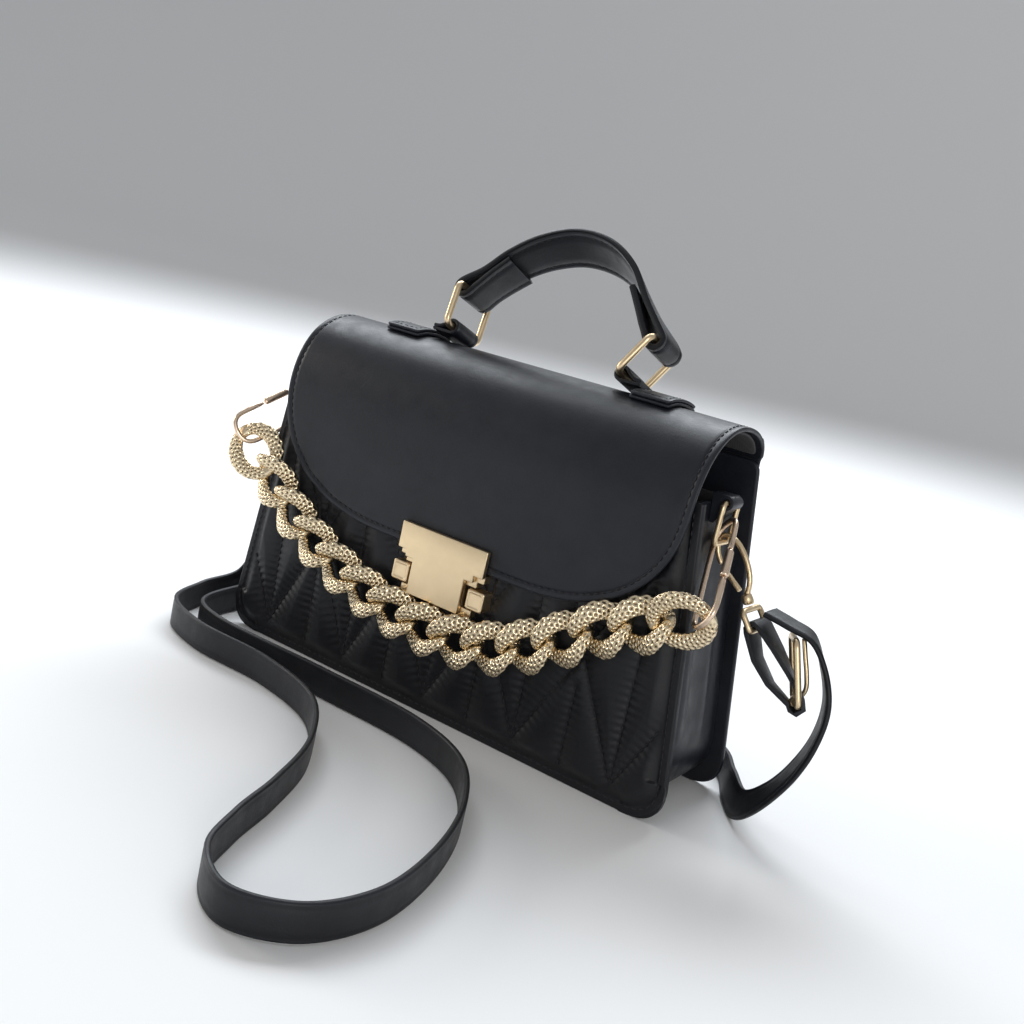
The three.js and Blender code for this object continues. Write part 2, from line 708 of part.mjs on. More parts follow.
// ---------------------------------------------------------------- snap hooks of the strap
const HOOK_Y = -3.2;
const HOOK_DOWN = [0.61, -0.79]; // direction of the hook's length, in X and Z
const HOOK_WIRE = 1.2;
const HOOK_BOW = [
  [21, 0],
  [18, -2.6],
  [13, -4.4],
  [6, -4.8],
  [0.6, -3.2],
  [-1.9, 0],
  [0.4, 3.1],
  [4, 4.4],
  [7.6, 4.5],
];
const GATE_FROM = [8.9, 4.4];
const GATE_TO = [18.6, 1.5];
const COLLAR = [20.6, 24.4];
const EYE = [26, 33];
const EYE_WIDTH = 15.5;

function hookFrame(side) {
  const down = vec(side * HOOK_DOWN[0], 0, HOOK_DOWN[1]).normalize();
  const toBag = vec(side * HOOK_DOWN[1], 0, -HOOK_DOWN[0]).normalize();
  const origin = vec(side * DRING_X, HOOK_Y, DRING_Z);
  const at = ([s, l]) => origin.clone().addScaledVector(down, s - 0.6).addScaledVector(toBag, l);
  return { down, toBag, at };
}

function snapHooks() {
  for (const [name, side] of [["left", -1], ["right", 1]]) {
    const { down, toBag, at } = hookFrame(side);
    const bowCurve = new THREE.CatmullRomCurve3(HOOK_BOW.map(at), false, "centripetal");
    const bow = bowCurve.getPoints(18);
    const bowTube = sweep(bow, bow.map(() => Y_AXIS), circle(HOOK_WIRE, 6));
    const collarEnds = COLLAR.map((s) => at([s, 0]));
    const collar = sweep(collarEnds, [Y_AXIS, Y_AXIS], circle(2.3, 8));
    add(`snap_hook_${name}`, toGeometry(toSolid(bowTube).add(toSolid(collar))), GOLD);
    const gate = [at(GATE_FROM), at(GATE_TO)];
    add(`snap_gate_${name}`, sweep(gate, [Y_AXIS, Y_AXIS], flatSection(2, 1.5)), GOLD);
    const eyeCentre = at([(EYE[0] + EYE[1]) / 2, 0]);
    const eye = wireRing(eyeCentre, down, Y_AXIS, EYE[1] - EYE[0], EYE_WIDTH, 2, 1.1, { steps: 2 });
    add(`snap_eye_${name}`, eye, GOLD);
  }
}

// ---------------------------------------------------------------- shoulder strap
// Its route: from the buckle down to the surface, round the back of the bag on its edge, out in a loop in
// front and back up to the left snap hook. Each row is a point and the direction of the strap's width.
const FLOOR_Z = STRAP_WIDTH / 2 + 0.4;
const STRAP_ROUTE = [
  [118, -3.2, 81.8, 0, 1, 0],
  [126, -3.2, 80.4, -0.1, 1, 0],
  [134.8, -3.2, 78.2, -0.3, 0.95, 0],
  [141.6, -3.2, 69.4, -0.4, 0.9, -0.1],
  [145.8, -3.2, 58, -0.4, 0.9, -0.12],
  [145.4, -3.2, 45, -0.4, 0.9, -0.15],
  [141, -2.6, 31, -0.5, 0.84, -0.2],
  [132.5, 0.5, 16.5, -0.5, 0.84, 0],
  [122.5, 9, 6.4, -0.4, 0.8, 0.4],
  [112, 24, 6.2, -0.1, 0.5, 0.85],
  [102, 40, FLOOR_Z, 0, 0.1, 1],
  [84, 52, FLOOR_Z, 0, 0, 1],
  [40, 57, FLOOR_Z, 0, 0, 1],
  [-40, 57, FLOOR_Z, 0, 0, 1],
  [-86, 54, FLOOR_Z, 0, 0, 1],
  [-106, 41, FLOOR_Z, 0, 0, 1],
  [-114, 18, FLOOR_Z, 0, 0, 1],
  [-114.5, -22, FLOOR_Z, 0, 0, 1],
  [-107, -46, FLOOR_Z, 0, 0, 1],
  [-88, -54, FLOOR_Z, 0, 0, 1],
  [-30, -54, FLOOR_Z, 0, 0, 1],
  [20, -56, FLOOR_Z, 0, 0, 1],
  [47, -67, FLOOR_Z, 0, 0, 1],
  [67, -91, FLOOR_Z, 0, 0, 1],
  [81, -125, FLOOR_Z, 0, 0, 1],
  [85, -157, FLOOR_Z, 0, 0, 1],
  [77, -178, FLOOR_Z, 0, 0, 1],
  [60, -187, FLOOR_Z, 0, 0, 1],
  [43, -178, FLOOR_Z, 0, 0, 1],
  [33, -158, FLOOR_Z, 0, 0, 1],
  [25, -134, FLOOR_Z, 0, 0, 1],
  [11, -104, FLOOR_Z, 0, 0, 1],
  [-14, -77, FLOOR_Z, 0, 0, 1],
  [-48, -66.5, FLOOR_Z, 0, 0, 1],
  [-88, -65.5, FLOOR_Z, 0, 0, 1],
  [-114, -54.5, FLOOR_Z, 0, 0, 1],
  [-125, -30, FLOOR_Z, 0, 0, 1],
  [-124.4, -5, 12, 0, -0.6, 0.8],
  [-120.6, 4, 42, 0, -1, 0.1],
  [-118.8, -3.2, 74, 0, -1, 0],
];
const STRAP_STEPS = 80;

function strap() {
  const places = STRAP_ROUTE.map(([x, y, z]) => vec(x, y, z));
  const route = new THREE.CatmullRomCurve3(places, false, "centripetal");
  const points = [];
  const across = [];
  for (let k = 0; k <= STRAP_STEPS; k += 1) {
    const t = (k / STRAP_STEPS) * (STRAP_ROUTE.length - 1);
    const low = Math.min(Math.floor(t), STRAP_ROUTE.length - 2);
    const from = vec(...STRAP_ROUTE[low].slice(3));
    const to = vec(...STRAP_ROUTE[low + 1].slice(3));
    points.push(route.getPoint(k / STRAP_STEPS));
    across.push(from.lerp(to, t - low).normalize());
  }
  add("strap", sweep(points, across, strapSection(STRAP_WIDTH, STRAP_THICK)), LEATHER);
}

const BUCKLE_LOW = vec(135.4, HOOK_Y, 55);
const BUCKLE_ALONG = vec(0.3, 0, -0.954);
const BUCKLE_ACROSS = vec(-0.4, 0.9, -0.126).normalize();
const BUCKLE_LENGTH = 22;
const BUCKLE_WIDTH = 17;
const BUCKLE_CORNER = 2.5;
const BUCKLE_WIRE = 1.2;
const LOOP_THICK = 1.6;

function buckle() {
  const centre = BUCKLE_LOW.clone().addScaledVector(BUCKLE_ALONG, -BUCKLE_LENGTH / 2);
  const size = [BUCKLE_LENGTH, BUCKLE_WIDTH, BUCKLE_CORNER, BUCKLE_WIRE];
  const frame = wireRing(centre, BUCKLE_ALONG, BUCKLE_ACROSS, ...size, { steps: 2 });
  add("buckle_frame", frame, GOLD);
  // The short strap that holds the buckle is a closed loop round the hook's eye and the lower bar.
  const eyeBar = hookFrame(1).at([EYE[1], 0]);
  const run = BUCKLE_LOW.clone().sub(eyeBar);
  const length = run.length();
  run.normalize();
  const normal = run.clone().cross(Y_AXIS).normalize();
  const radius = 1.2 + 0.5 + LOOP_THICK / 2;
  const beside = (from, along, up) => from.clone().addScaledVector(run, along).addScaledVector(normal, up);
  const turn = (middle, start) =>
    [0, 1, 2, 3, 4].map((k) => {
      const angle = start + (Math.PI * k) / 4;
      return beside(middle, radius * Math.cos(angle), radius * Math.sin(angle));
    });
  const loop = [
    ...turn(eyeBar, Math.PI / 2),
    beside(eyeBar, length * 0.33, -5.4),
    beside(eyeBar, length * 0.67, -5.4),
    ...turn(BUCKLE_LOW, -Math.PI / 2),
    beside(eyeBar, length * 0.67, 3),
    beside(eyeBar, length * 0.33, 3),
  ];
  const across = loop.map((p) => {
    const share = THREE.MathUtils.clamp(p.clone().sub(eyeBar).dot(run) / length, 0, 1);
    return Y_AXIS.clone().lerp(BUCKLE_ACROSS, share).normalize();
  });
  add("buckle_strap", sweep(loop, across, flatSection(STRAP_WIDTH, LOOP_THICK), true), LEATHER);
  const prong = [vec(137.6, HOOK_Y, 60.5), vec(132.4, HOOK_Y, 77)];
  add("buckle_prong", sweep(prong, [Y_AXIS, Y_AXIS], circle(0.8, 6)), GOLD);
}

handleRings();
ovalRings(chain());
snapHooks();
strap();
buckle();
bodyShell();
gusset();
insides();
flap();
lock();
handleTabs();
handleBand();
sideRings();

export default purse;
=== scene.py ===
"""A small black crossbody purse: quilted front, curved flap with a press lock, curb chain, top handle, strap.

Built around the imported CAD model. Lengths are written in millimetres and turned into metres by MM.
"""
import math

import bmesh
import bpy
import numpy as np
from mathutils import Matrix, Vector


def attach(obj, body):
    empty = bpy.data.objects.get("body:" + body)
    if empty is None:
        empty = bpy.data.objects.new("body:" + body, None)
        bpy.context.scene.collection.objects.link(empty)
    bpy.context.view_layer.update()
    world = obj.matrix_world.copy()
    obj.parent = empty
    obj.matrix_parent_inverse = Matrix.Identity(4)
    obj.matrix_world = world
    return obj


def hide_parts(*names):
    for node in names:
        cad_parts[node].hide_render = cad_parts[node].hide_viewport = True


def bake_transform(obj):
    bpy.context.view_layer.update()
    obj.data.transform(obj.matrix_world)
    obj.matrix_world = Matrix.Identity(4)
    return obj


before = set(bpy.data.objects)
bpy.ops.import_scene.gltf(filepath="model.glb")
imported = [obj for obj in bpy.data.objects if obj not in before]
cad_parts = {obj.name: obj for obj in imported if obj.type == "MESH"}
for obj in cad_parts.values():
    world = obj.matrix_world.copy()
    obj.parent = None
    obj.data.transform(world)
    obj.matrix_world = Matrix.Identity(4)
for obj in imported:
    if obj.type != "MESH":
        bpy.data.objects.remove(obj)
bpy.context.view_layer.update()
MM = 0.001
SIDES = (("left", -1), ("right", 1))
STITCH_PITCH = 2.9


# ---- camera, floor and light
def set_camera():
    camera = bpy.data.objects.new("camera", bpy.data.cameras.new("camera"))
    camera.data.lens = 41.52
    camera.data.sensor_width = 36
    camera.data.clip_start = 0.01
    azimuth, elevation, roll = (math.radians(a) for a in (31.1, 11.9, 13.0))
    reach = math.cos(elevation)
    forward = Vector((-math.sin(azimuth) * reach, math.cos(azimuth) * reach, -math.sin(elevation)))
    level = forward.cross(Vector((0, 0, 1))).normalized()
    upright = level.cross(forward)
    right = level * math.cos(roll) + upright * math.sin(roll)
    up = upright * math.cos(roll) - level * math.sin(roll)
    turn = Matrix((right, up, -forward)).transposed().to_4x4()
    camera.matrix_world = Matrix.Translation((0.2425, -0.3937, 0.1799)) @ turn
    bpy.context.scene.collection.objects.link(camera)
    bpy.context.scene.camera = camera


def add_light(name, place, target, size, power, colour=(1, 1, 1)):
    data = bpy.data.lights.new(name, "AREA")
    data.shape = "RECTANGLE"
    data.size, data.size_y = size
    data.energy = power
    data.color = colour
    light = bpy.data.objects.new(name, data)
    light.location = place
    light.rotation_euler = (Vector(target) - Vector(place)).to_track_quat("-Z", "Y").to_euler()
    bpy.context.scene.collection.objects.link(light)


def set_stage():
    """A pale floor that curves up into a wall behind the bag, and three soft lights."""
    steps = 24
    bend, radius = 2.6, 1.2
    profile = [(-4.0, 0.0), (bend, 0.0)]
    for k in range(1, steps + 1):
        angle = 0.5 * math.pi * k / steps
        profile.append((bend + radius * math.sin(angle), radius * (1 - math.cos(angle))))
    profile.append((bend + radius, 6.0))
    verts = [(x, y, z) for y, z in profile for x in (-25.0, 25.0)]
    faces = [(2 * k, 2 * k + 1, 2 * k + 3, 2 * k + 2) for k in range(len(profile) - 1)]
    mesh = bpy.data.meshes.new("backdrop")
    mesh.from_pydata(verts, [], faces)
    mesh.shade_smooth()
    backdrop = bpy.data.objects.new("backdrop", mesh)
    bpy.context.scene.collection.objects.link(backdrop)
    paint = bpy.data.materials.new("backdrop_paint")
    paint.use_nodes = True
    shader = paint.node_tree.nodes["Principled BSDF"]
    shader.inputs["Base Color"].default_value = (0.9, 0.9, 0.9, 1)
    shader.inputs["Roughness"].default_value = 0.9
    mesh.materials.append(paint)
    world = bpy.data.worlds.new("studio")
    world.use_nodes = True
    world.node_tree.nodes["Background"].inputs["Color"].default_value = (0.95, 0.97, 1, 1)
    world.node_tree.nodes["Background"].inputs["Strength"].default_value = 0.42
    bpy.context.scene.world = world
    add_light("top", (-0.55, 0.75, 1.15), (0, 0, 0.1), (1.7, 0.6), 26, (0.9, 0.95, 1))
    add_light("left", (-1.25, -0.35, 0.4), (0, 0, 0.06), (0.4, 0.5), 5, (1, 0.95, 0.88))
    add_light("right", (0.95, -0.9, 0.32), (0, 0, 0.06), (0.4, 0.4), 4, (1, 0.97, 0.92))
    bpy.context.scene.view_settings.view_transform = "Standard"


# ---- materials
# Painted shade: an attribute that darkens the chain's gold inside its pits, where light does not reach.
PAINTED_PIT_SHADE = "painted_pit_shade"  # how deep a point lies in one of the chain's pits, 0 to 1


class Shader:
    """A Principled material with helpers for the nodes that give it grain and wear."""

    def __init__(self, name):
        self.material = bpy.data.materials.new(name)
        self.material.use_nodes = True
        self.tree = self.material.node_tree
        self.surface = self.tree.nodes["Principled BSDF"]
        self.place = self.node("ShaderNodeTexCoord").outputs["Object"]

    def node(self, kind, **settings):
        node = self.tree.nodes.new(kind)
        for key, value in settings.items():
            setattr(node, key, value)
        return node

    def link(self, source, target):
        self.tree.links.new(source, target)

    def noise(self, per_metre, detail=3.0, rough=0.55):
        node = self.node("ShaderNodeTexNoise")
        node.inputs["Scale"].default_value = per_metre
        node.inputs["Detail"].default_value = detail
        node.inputs["Roughness"].default_value = rough
        self.link(self.place, node.inputs["Vector"])
        return node.outputs["Fac"]

    def cells(self, per_metre):
        node = self.node("ShaderNodeTexVoronoi", feature="DISTANCE_TO_EDGE")
        node.inputs["Scale"].default_value = per_metre
        self.link(self.place, node.inputs["Vector"])
        return node.outputs["Distance"]

    def ramp(self, value, stops):
        node = self.node("ShaderNodeValToRGB")
        ramp = node.color_ramp
        while len(ramp.elements) < len(stops):
            ramp.elements.new(0.5)
        for element, (position, colour) in zip(ramp.elements, stops):
            element.position = position
            element.color = (*colour, 1) if isinstance(colour, tuple) else (*[colour] * 3, 1)
        self.link(value, node.inputs["Fac"])
        return node.outputs["Color"]

    def bump(self, height, distance, strength=1.0, under=None):
        node = self.node("ShaderNodeBump")
        node.inputs["Distance"].default_value = distance
        node.inputs["Strength"].default_value = strength
        self.link(height, node.inputs["Height"])
        if under is not None:
            self.link(under, node.inputs["Normal"])
        return node.outputs["Normal"]

    def worn(self, colour, wear_colour, share):
        """Mixes in the wear colour along convex edges."""
        edges = self.node("ShaderNodeNewGeometry").outputs["Pointiness"]
        return self.mix(self.ramp(edges, [(0.5, 0.0), (0.56, share)]), colour, wear_colour)

    def mix(self, mask, colour, other):
        node = self.node("ShaderNodeMix", data_type="RGBA")
        self.link(mask, node.inputs["Factor"])
        self.link(colour, node.inputs[6])
        node.inputs[7].default_value = (*other, 1)
        return node.outputs[2]

    def paint(self, colour, roughness, spread, per_metre, detail):
        """Sets the colour, and a roughness that varies around its middle value."""
        self.link(colour, self.surface.inputs["Base Color"])
        stops = [(0.3, roughness - spread[0]), (0.7, roughness + spread[1])]
        self.link(self.ramp(self.noise(per_metre, detail), stops), self.surface.inputs["Roughness"])


def leather(name, dark, light, roughness, grain, grain_depth):
    s = Shader(name)
    tone = s.ramp(s.noise(45, 4), [(0.35, dark), (0.7, light)])
    s.paint(s.worn(tone, tuple(2.2 * c for c in light), 0.5), roughness, (0.05, 0.08), 160, 5)
    pores = s.bump(s.cells(grain), grain_depth, 0.5)
    creases = s.bump(s.noise(grain * 0.45, 6, 0.65), grain_depth * 1.6, 0.6, pores)
    s.link(creases, s.surface.inputs["Normal"])
    s.surface.inputs["Specular IOR Level"].default_value = 0.34
    return s.material


def metal(name, colour, roughness, brushed, pit_shade_colour=None):
    s = Shader(name)
    tone = s.ramp(s.noise(90, 3), [(0.3, tuple(0.93 * c for c in colour)), (0.7, colour)])
    # Painted shade: the pit colour is mixed into the gold where the pit attribute is high.
    if pit_shade_colour is not None:
        tone = s.mix(s.node("ShaderNodeAttribute", attribute_name=PAINTED_PIT_SHADE).outputs["Fac"], tone, pit_shade_colour)
    s.paint(tone, roughness, (0.05, 0.06), 420, 4)
    s.link(s.bump(s.noise(brushed, 3, 0.7), 0.00004, 0.35), s.surface.inputs["Normal"])
    s.surface.inputs["Metallic"].default_value = 1
    return s.material


def woven(name, dark, light, threads):
    s = Shader(name)
    weave = []
    for direction in ("DIAGONAL", "Z"):
        wave = s.node("ShaderNodeTexWave", bands_direction=direction)
        wave.inputs["Scale"].default_value = threads
        wave.inputs["Distortion"].default_value = 0.4
        s.link(s.place, wave.inputs["Vector"])
        weave.append(wave.outputs["Fac"])
    cross = s.node("ShaderNodeMath", operation="MULTIPLY")
    s.link(weave[0], cross.inputs[0])
    s.link(weave[1], cross.inputs[1])
    s.link(s.ramp(cross.outputs[0], [(0.1, dark), (0.9, light)]), s.surface.inputs["Base Color"])
    s.link(s.bump(cross.outputs[0], 0.0001, 0.5), s.surface.inputs["Normal"])
    s.surface.inputs["Roughness"].default_value = 0.85
    return s.material


# Colours from dark to light, roughness, pores per metre and their depth in metres.
LEATHER = leather("smooth_leather", (0.0075, 0.0085, 0.0125), (0.011, 0.0125, 0.0175), 0.42, 1900, 0.00006)
QUILTED = leather("quilted_leather", (0.0045, 0.005, 0.007), (0.0075, 0.008, 0.0105), 0.44, 1700, 0.00008)
STRAP_LEATHER = leather("strap_leather", (0.006, 0.0065, 0.0085), (0.01, 0.011, 0.0145), 0.46, 1500, 0.00008)
THREAD = leather("thread", (0.006, 0.006, 0.008), (0.011, 0.011, 0.014), 0.6, 4000, 0.00003)
GOLD = metal("pale_gold", (0.84, 0.66, 0.42), 0.34, 5000)
# The chain gold's last colour is painted shade for the inside of its pits.
CHAIN_GOLD = metal("chain_gold", (0.88, 0.73, 0.5), 0.24, 3000, (0.09, 0.05, 0.02))
ROSE_GOLD = metal("rose_gold", (0.85, 0.66, 0.5), 0.3, 5000)
LINING = woven("lining_twill", (0.035, 0.033, 0.035), (0.07, 0.066, 0.068), 900)
BOARD = woven("fibre_board", (0.34, 0.27, 0.19), (0.45, 0.37, 0.27), 260)


# ---- mesh tools
def unit(v):
    return v / np.maximum(np.linalg.norm(v, axis=-1, keepdims=True), 1e-12)


def vec(*p):
    return np.array(p, float)


def build(name, points, faces, finish, body, nodes=()):
    """A piece from points in millimetres, riding on a body and standing for CAD nodes."""
    mesh = bpy.data.meshes.new(name)
    mesh.from_pydata((np.asarray(points, float) * MM).tolist(), [], [list(map(int, f)) for f in faces])
    mesh.validate()
    mesh.shade_smooth()
    mesh.materials.append(finish)
    piece = bpy.data.objects.new(name, mesh)
    bpy.context.scene.collection.objects.link(piece)
    if body:
        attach(piece, body)
    if nodes:
        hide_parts(*nodes)
    return piece


def apply_modifiers(piece):
    graph = bpy.context.evaluated_depsgraph_get()
    mesh = bpy.data.meshes.new_from_object(piece.evaluated_get(graph))
    piece.modifiers.clear()
    old = piece.data
    piece.data = mesh
    bpy.data.meshes.remove(old)


def clean(piece, flat_angle=None):
    """Points the faces outwards, and keeps edges sharper than an angle crisp."""
    bm = bmesh.new()
    bm.from_mesh(piece.data)
    bmesh.ops.recalc_face_normals(bm, faces=bm.faces)
    bm.to_mesh(piece.data)
    bm.free()
    piece.data.shade_smooth()
    if flat_angle is not None:
        piece.data.set_sharp_from_angle(angle=math.radians(flat_angle))


def grid_faces(rows, columns, closed_rows=False, closed_columns=False):
    faces = []
    for r in range(rows if closed_rows else rows - 1):
        for c in range(columns if closed_columns else columns - 1):
            r2, c2 = (r + 1) % rows, (c + 1) % columns
            faces.append((r * columns + c, r * columns + c2, r2 * columns + c2, r2 * columns + c))
    return faces


def tube_faces(rows, columns):
    """Faces of a tube of closed rings, with its two ends."""
    faces = grid_faces(rows, columns, False, True)
    faces.append(tuple(range(columns)))
    faces.append(tuple(range(rows * columns - 1, (rows - 1) * columns - 1, -1)))
    return faces


def lengths(points):
    """Distance along a line of points, from its start to each of them."""
    return np.concatenate([[0], np.cumsum(np.linalg.norm(np.diff(points, axis=0), axis=1))])


def at_length(at, place, values):
    """The values, given at each place along a line, at other lengths along it."""
    return np.stack([np.interp(at, place, values[:, k]) for k in range(values.shape[1])], axis=-1)


def spline(points, count):
    """Centripetal Catmull-Rom through the points, `count` steps, the same curve as in the CAD model."""
    pts = np.asarray(points, float)
    xyz = pts[:, :3]
    ext = np.vstack([2 * xyz[0] - xyz[1], xyz, 2 * xyz[-1] - xyz[-2]])
    last = len(pts) - 1
    result = []
    for k in range(count + 1):
        t = k / count * last
        i = min(int(t), last - 1)
        w = t - i
        p0, p1, p2, p3 = ext[i : i + 4]
        d0, d1, d2 = (max(np.linalg.norm(b - a) ** 0.5, 1e-6) for a, b in ((p0, p1), (p1, p2), (p2, p3)))
        t1 = ((p1 - p0) / d0 - (p2 - p0) / (d0 + d1) + (p2 - p1) / d1) * d1
        t2 = ((p2 - p1) / d1 - (p3 - p1) / (d1 + d2) + (p3 - p2) / d2) * d1
        w2, w3 = w * w, w * w * w
        result.append(
            p1 * (2 * w3 - 3 * w2 + 1) + t1 * (w3 - 2 * w2 + w) + p2 * (3 * w2 - 2 * w3) + t2 * (w3 - w2)
        )
    return np.array(result)


def along(points, closed=False):
    if closed:
        return unit(np.roll(points, -1, axis=0) - np.roll(points, 1, axis=0))
    return unit(np.gradient(points, axis=0))


def square_to(vectors, directions):
    """The part of each vector at right angles to a unit direction, made 1 long."""
    return unit(vectors - directions * np.sum(vectors * directions, axis=1, keepdims=True))


def sweep(points, across, section, closed=False):
    """Carries a section along points; `across` is the direction of its first axis at each of them."""
    tangent = along(points, closed)
    first = square_to(across, tangent)
    second = np.cross(tangent, first)
    section = np.asarray(section, float)
    if section.ndim == 2:
        section = np.broadcast_to(section, (len(points), *section.shape))
    rings = (
        points[:, None]
        + first[:, None] * section[:, :, :1]
        + second[:, None] * section[:, :, 1:]
    )
    rows, columns = rings.shape[:2]
    faces = grid_faces(rows, columns, True, True) if closed else tube_faces(rows, columns)
    return rings.reshape(-1, 3), faces


def circle(radius, sides=12):
    angle = 2 * np.pi * np.arange(sides) / sides
    return radius * np.stack([np.cos(angle), np.sin(angle)], axis=1)


def band_section(width, thick, edge=3.2, groove=0.25, crown=0.2):
    """A strap's section: round edges, a pressed line beside each edge, and a slight crown."""
    half, h = width / 2, thick / 2
    xs = [half - 0.45 * h, half - edge + 0.7, half - edge, half - edge - 0.7, half * 0.4]
    lift = [0.0, crown * 0.6, -groove, crown * 0.7, crown]
    upper = [(x, h - 0.08 + d) for x, d in zip(xs, lift)]
    upper += [(0, h - 0.08 + crown)]
    upper += [(-x, y) for x, y in reversed(upper[:-1])]
    side = [(half - 0.12 * h, 0.6 * h), (half, 0.2 * h), (half, -0.2 * h), (half - 0.12 * h, -0.6 * h)]
    other = [(-x, y) for x, y in reversed(side)]
    lower = [(x, -y) for x, y in reversed(upper)]
    return np.array(list(reversed(side)) + upper + other + lower)


def cad_copy(name, node, finish, rework):
    """A new piece with a CAD node's mesh, its doubled points merged, then changed by rework(bm)."""
    piece = bpy.data.objects.new(name, bpy.data.objects[node].data.copy())
    bpy.context.scene.collection.objects.link(piece)
    bm = bmesh.new()
    bm.from_mesh(piece.data)
    bmesh.ops.remove_doubles(bm, verts=bm.verts, dist=1e-6)
    rework(bm)
    bm.to_mesh(piece.data)
    bm.free()
    piece.data.materials.clear()
    piece.data.materials.append(finish)
    return piece


def stand_for(piece, node, body):
    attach(piece, body)
    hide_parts(node)


def join_quads(bm):
    limit = 1.2
    bmesh.ops.join_triangles(bm, faces=bm.faces, angle_face_threshold=limit, angle_shape_threshold=limit)


def join_flat(bm):
    bmesh.ops.dissolve_limit(bm, angle_limit=math.radians(2), verts=bm.verts, edges=bm.edges)


def smooth_copy(name, node, finish, body, rework):
    """A finer and rounder version of a CAD wire."""
    piece = cad_copy(name, node, finish, rework)
    piece.modifiers.new("divide", "SUBSURF").levels = 1
    apply_modifiers(piece)
    clean(piece)
    stand_for(piece, node, body)


def beveled_copy(name, node, finish, body, width=0.3, angle=28):
    """A CAD piece with its edges rounded over."""
    piece = cad_copy(name, node, finish, join_flat)
    bevel = piece.modifiers.new("bevel", "BEVEL")
    bevel.width = width * MM
    bevel.segments = 3
    bevel.limit_method = "ANGLE"
    bevel.angle_limit = math.radians(angle)
    apply_modifiers(piece)
    clean(piece, 40)
    stand_for(piece, node, body)


def stitches(name, points, normals, body, thick, pitch=STITCH_PITCH, length=1.9):
    """Thread along a line on a surface: one rounded stitch per pitch, sunk a little into the leather."""
    place = lengths(points)
    count = max(int(place[-1] / pitch), 1)
    middles = (np.arange(count) + 0.5) * place[-1] / count
    centre, up = at_length(middles, place, points), unit(at_length(middles, place, normals))
    run = unit(at_length(middles + 0.3, place, points) - at_length(middles - 0.3, place, points))
    side = np.cross(up, run)
    verts, faces = [], []
    # Each ring of a stitch: its shift along the stitch, its size and its rise.
    offsets = [(-0.5, 0.35, -0.25), (-0.38, 0.85, 0.1), (0, 1, 0.22), (0.38, 0.85, 0.1), (0.5, 0.35, -0.25)]
    sides = 6
    ring = circle(1.0, sides)
    stitch_faces = tube_faces(len(offsets), sides)
    for c, u, r, s in zip(centre, up, run, side):
        base = len(verts)
        for shift, swell, rise in offsets:
            middle = c + r * shift * length + u * rise * thick * 2
            verts.extend(middle + thick * swell * (s * p + u * q) for p, q in ring)
        faces.extend(tuple(base + i for i in f) for f in stitch_faces)
    piece = build(name, verts, faces, THREAD, body)
    clean(piece)
    return piece


# ---- shoulder strap
STRAP_WIDTH = 12
STRAP_THICK = 2
FLOOR_Z = STRAP_WIDTH / 2 + 0.4
# The strap lies on edge along these places on the floor, from behind the bag to its left side.
FLOOR_RUN = [(84, 52), (40, 57), (-40, 57), (-86, 54), (-106, 41), (-114, 18), (-114.5, -22), (-107, -46)]
FLOOR_RUN += [(-88, -54), (-30, -54), (20, -56), (47, -67), (67, -91), (81, -125), (85, -157), (77, -178)]
FLOOR_RUN += [(60, -187), (43, -178), (33, -158), (25, -134), (11, -104), (-14, -77), (-48, -66.5)]
FLOOR_RUN += [(-88, -65.5), (-114, -54.5), (-125, -30)]
# Each row of its whole route is a point and the direction of the strap's width there.
STRAP_ROUTE = [
    (118, -3.2, 81.8, 0, 1, 0),
    (126, -3.2, 80.4, -0.1, 1, 0),
    (134.8, -3.2, 78.2, -0.3, 0.95, 0),
    (141.6, -3.2, 69.4, -0.4, 0.9, -0.1),
    (145.8, -3.2, 58, -0.4, 0.9, -0.12),
    (145.4, -3.2, 45, -0.4, 0.9, -0.15),
    (141, -2.6, 31, -0.5, 0.84, -0.2),
    (132.5, 0.5, 16.5, -0.5, 0.84, 0),
    (122.5, 9, 6.4, -0.4, 0.8, 0.4),
    (112, 24, 6.2, -0.1, 0.5, 0.85),
    (102, 40, FLOOR_Z, 0, 0.1, 1),
    *[(x, y, FLOOR_Z, 0, 0, 1) for x, y in FLOOR_RUN],
    (-124.4, -5, 12, 0, -0.6, 0.8),
    (-120.6, 4, 42, 0, -1, 0.1),
    (-118.8, -3.2, 74, 0, -1, 0),
]
STRAP_STEPS = 520


def strap():
    points = spline(STRAP_ROUTE, STRAP_STEPS)
    rows = np.array(STRAP_ROUTE)
    place = np.linspace(0, len(rows) - 1, STRAP_STEPS + 1)
    across = at_length(place, np.arange(len(rows)), rows[:, 3:])
    for _ in range(12):
        across[1:-1] = (across[:-2] + 2 * across[1:-1] + across[2:]) / 4
    verts, faces = sweep(points, unit(across), band_section(STRAP_WIDTH, STRAP_THICK, 1.6, 0.16, 0.06))
    piece = build("shoulder_strap", verts, faces, STRAP_LEATHER, "bag", ["strap"])
    clean(piece)
    path = spline(STRAP_ROUTE, 160)
    float(lengths(path)[-1]) * MM


# ---- shell of the bag
SEAM_Z = 129
FRONT = vec(0, -1, 0)
FRONT_TOP = 115
BACK_TOP = 128.1
FRONT_THICK = 2.6
BACK_THICK = 2.2


def half_width(z):
    return 109 - 16 / SEAM_Z * z


def front_face(z):
    return -26.8 - 0.0233 * z


def back_face(z):
    return 27.4 - 0.0729 * z


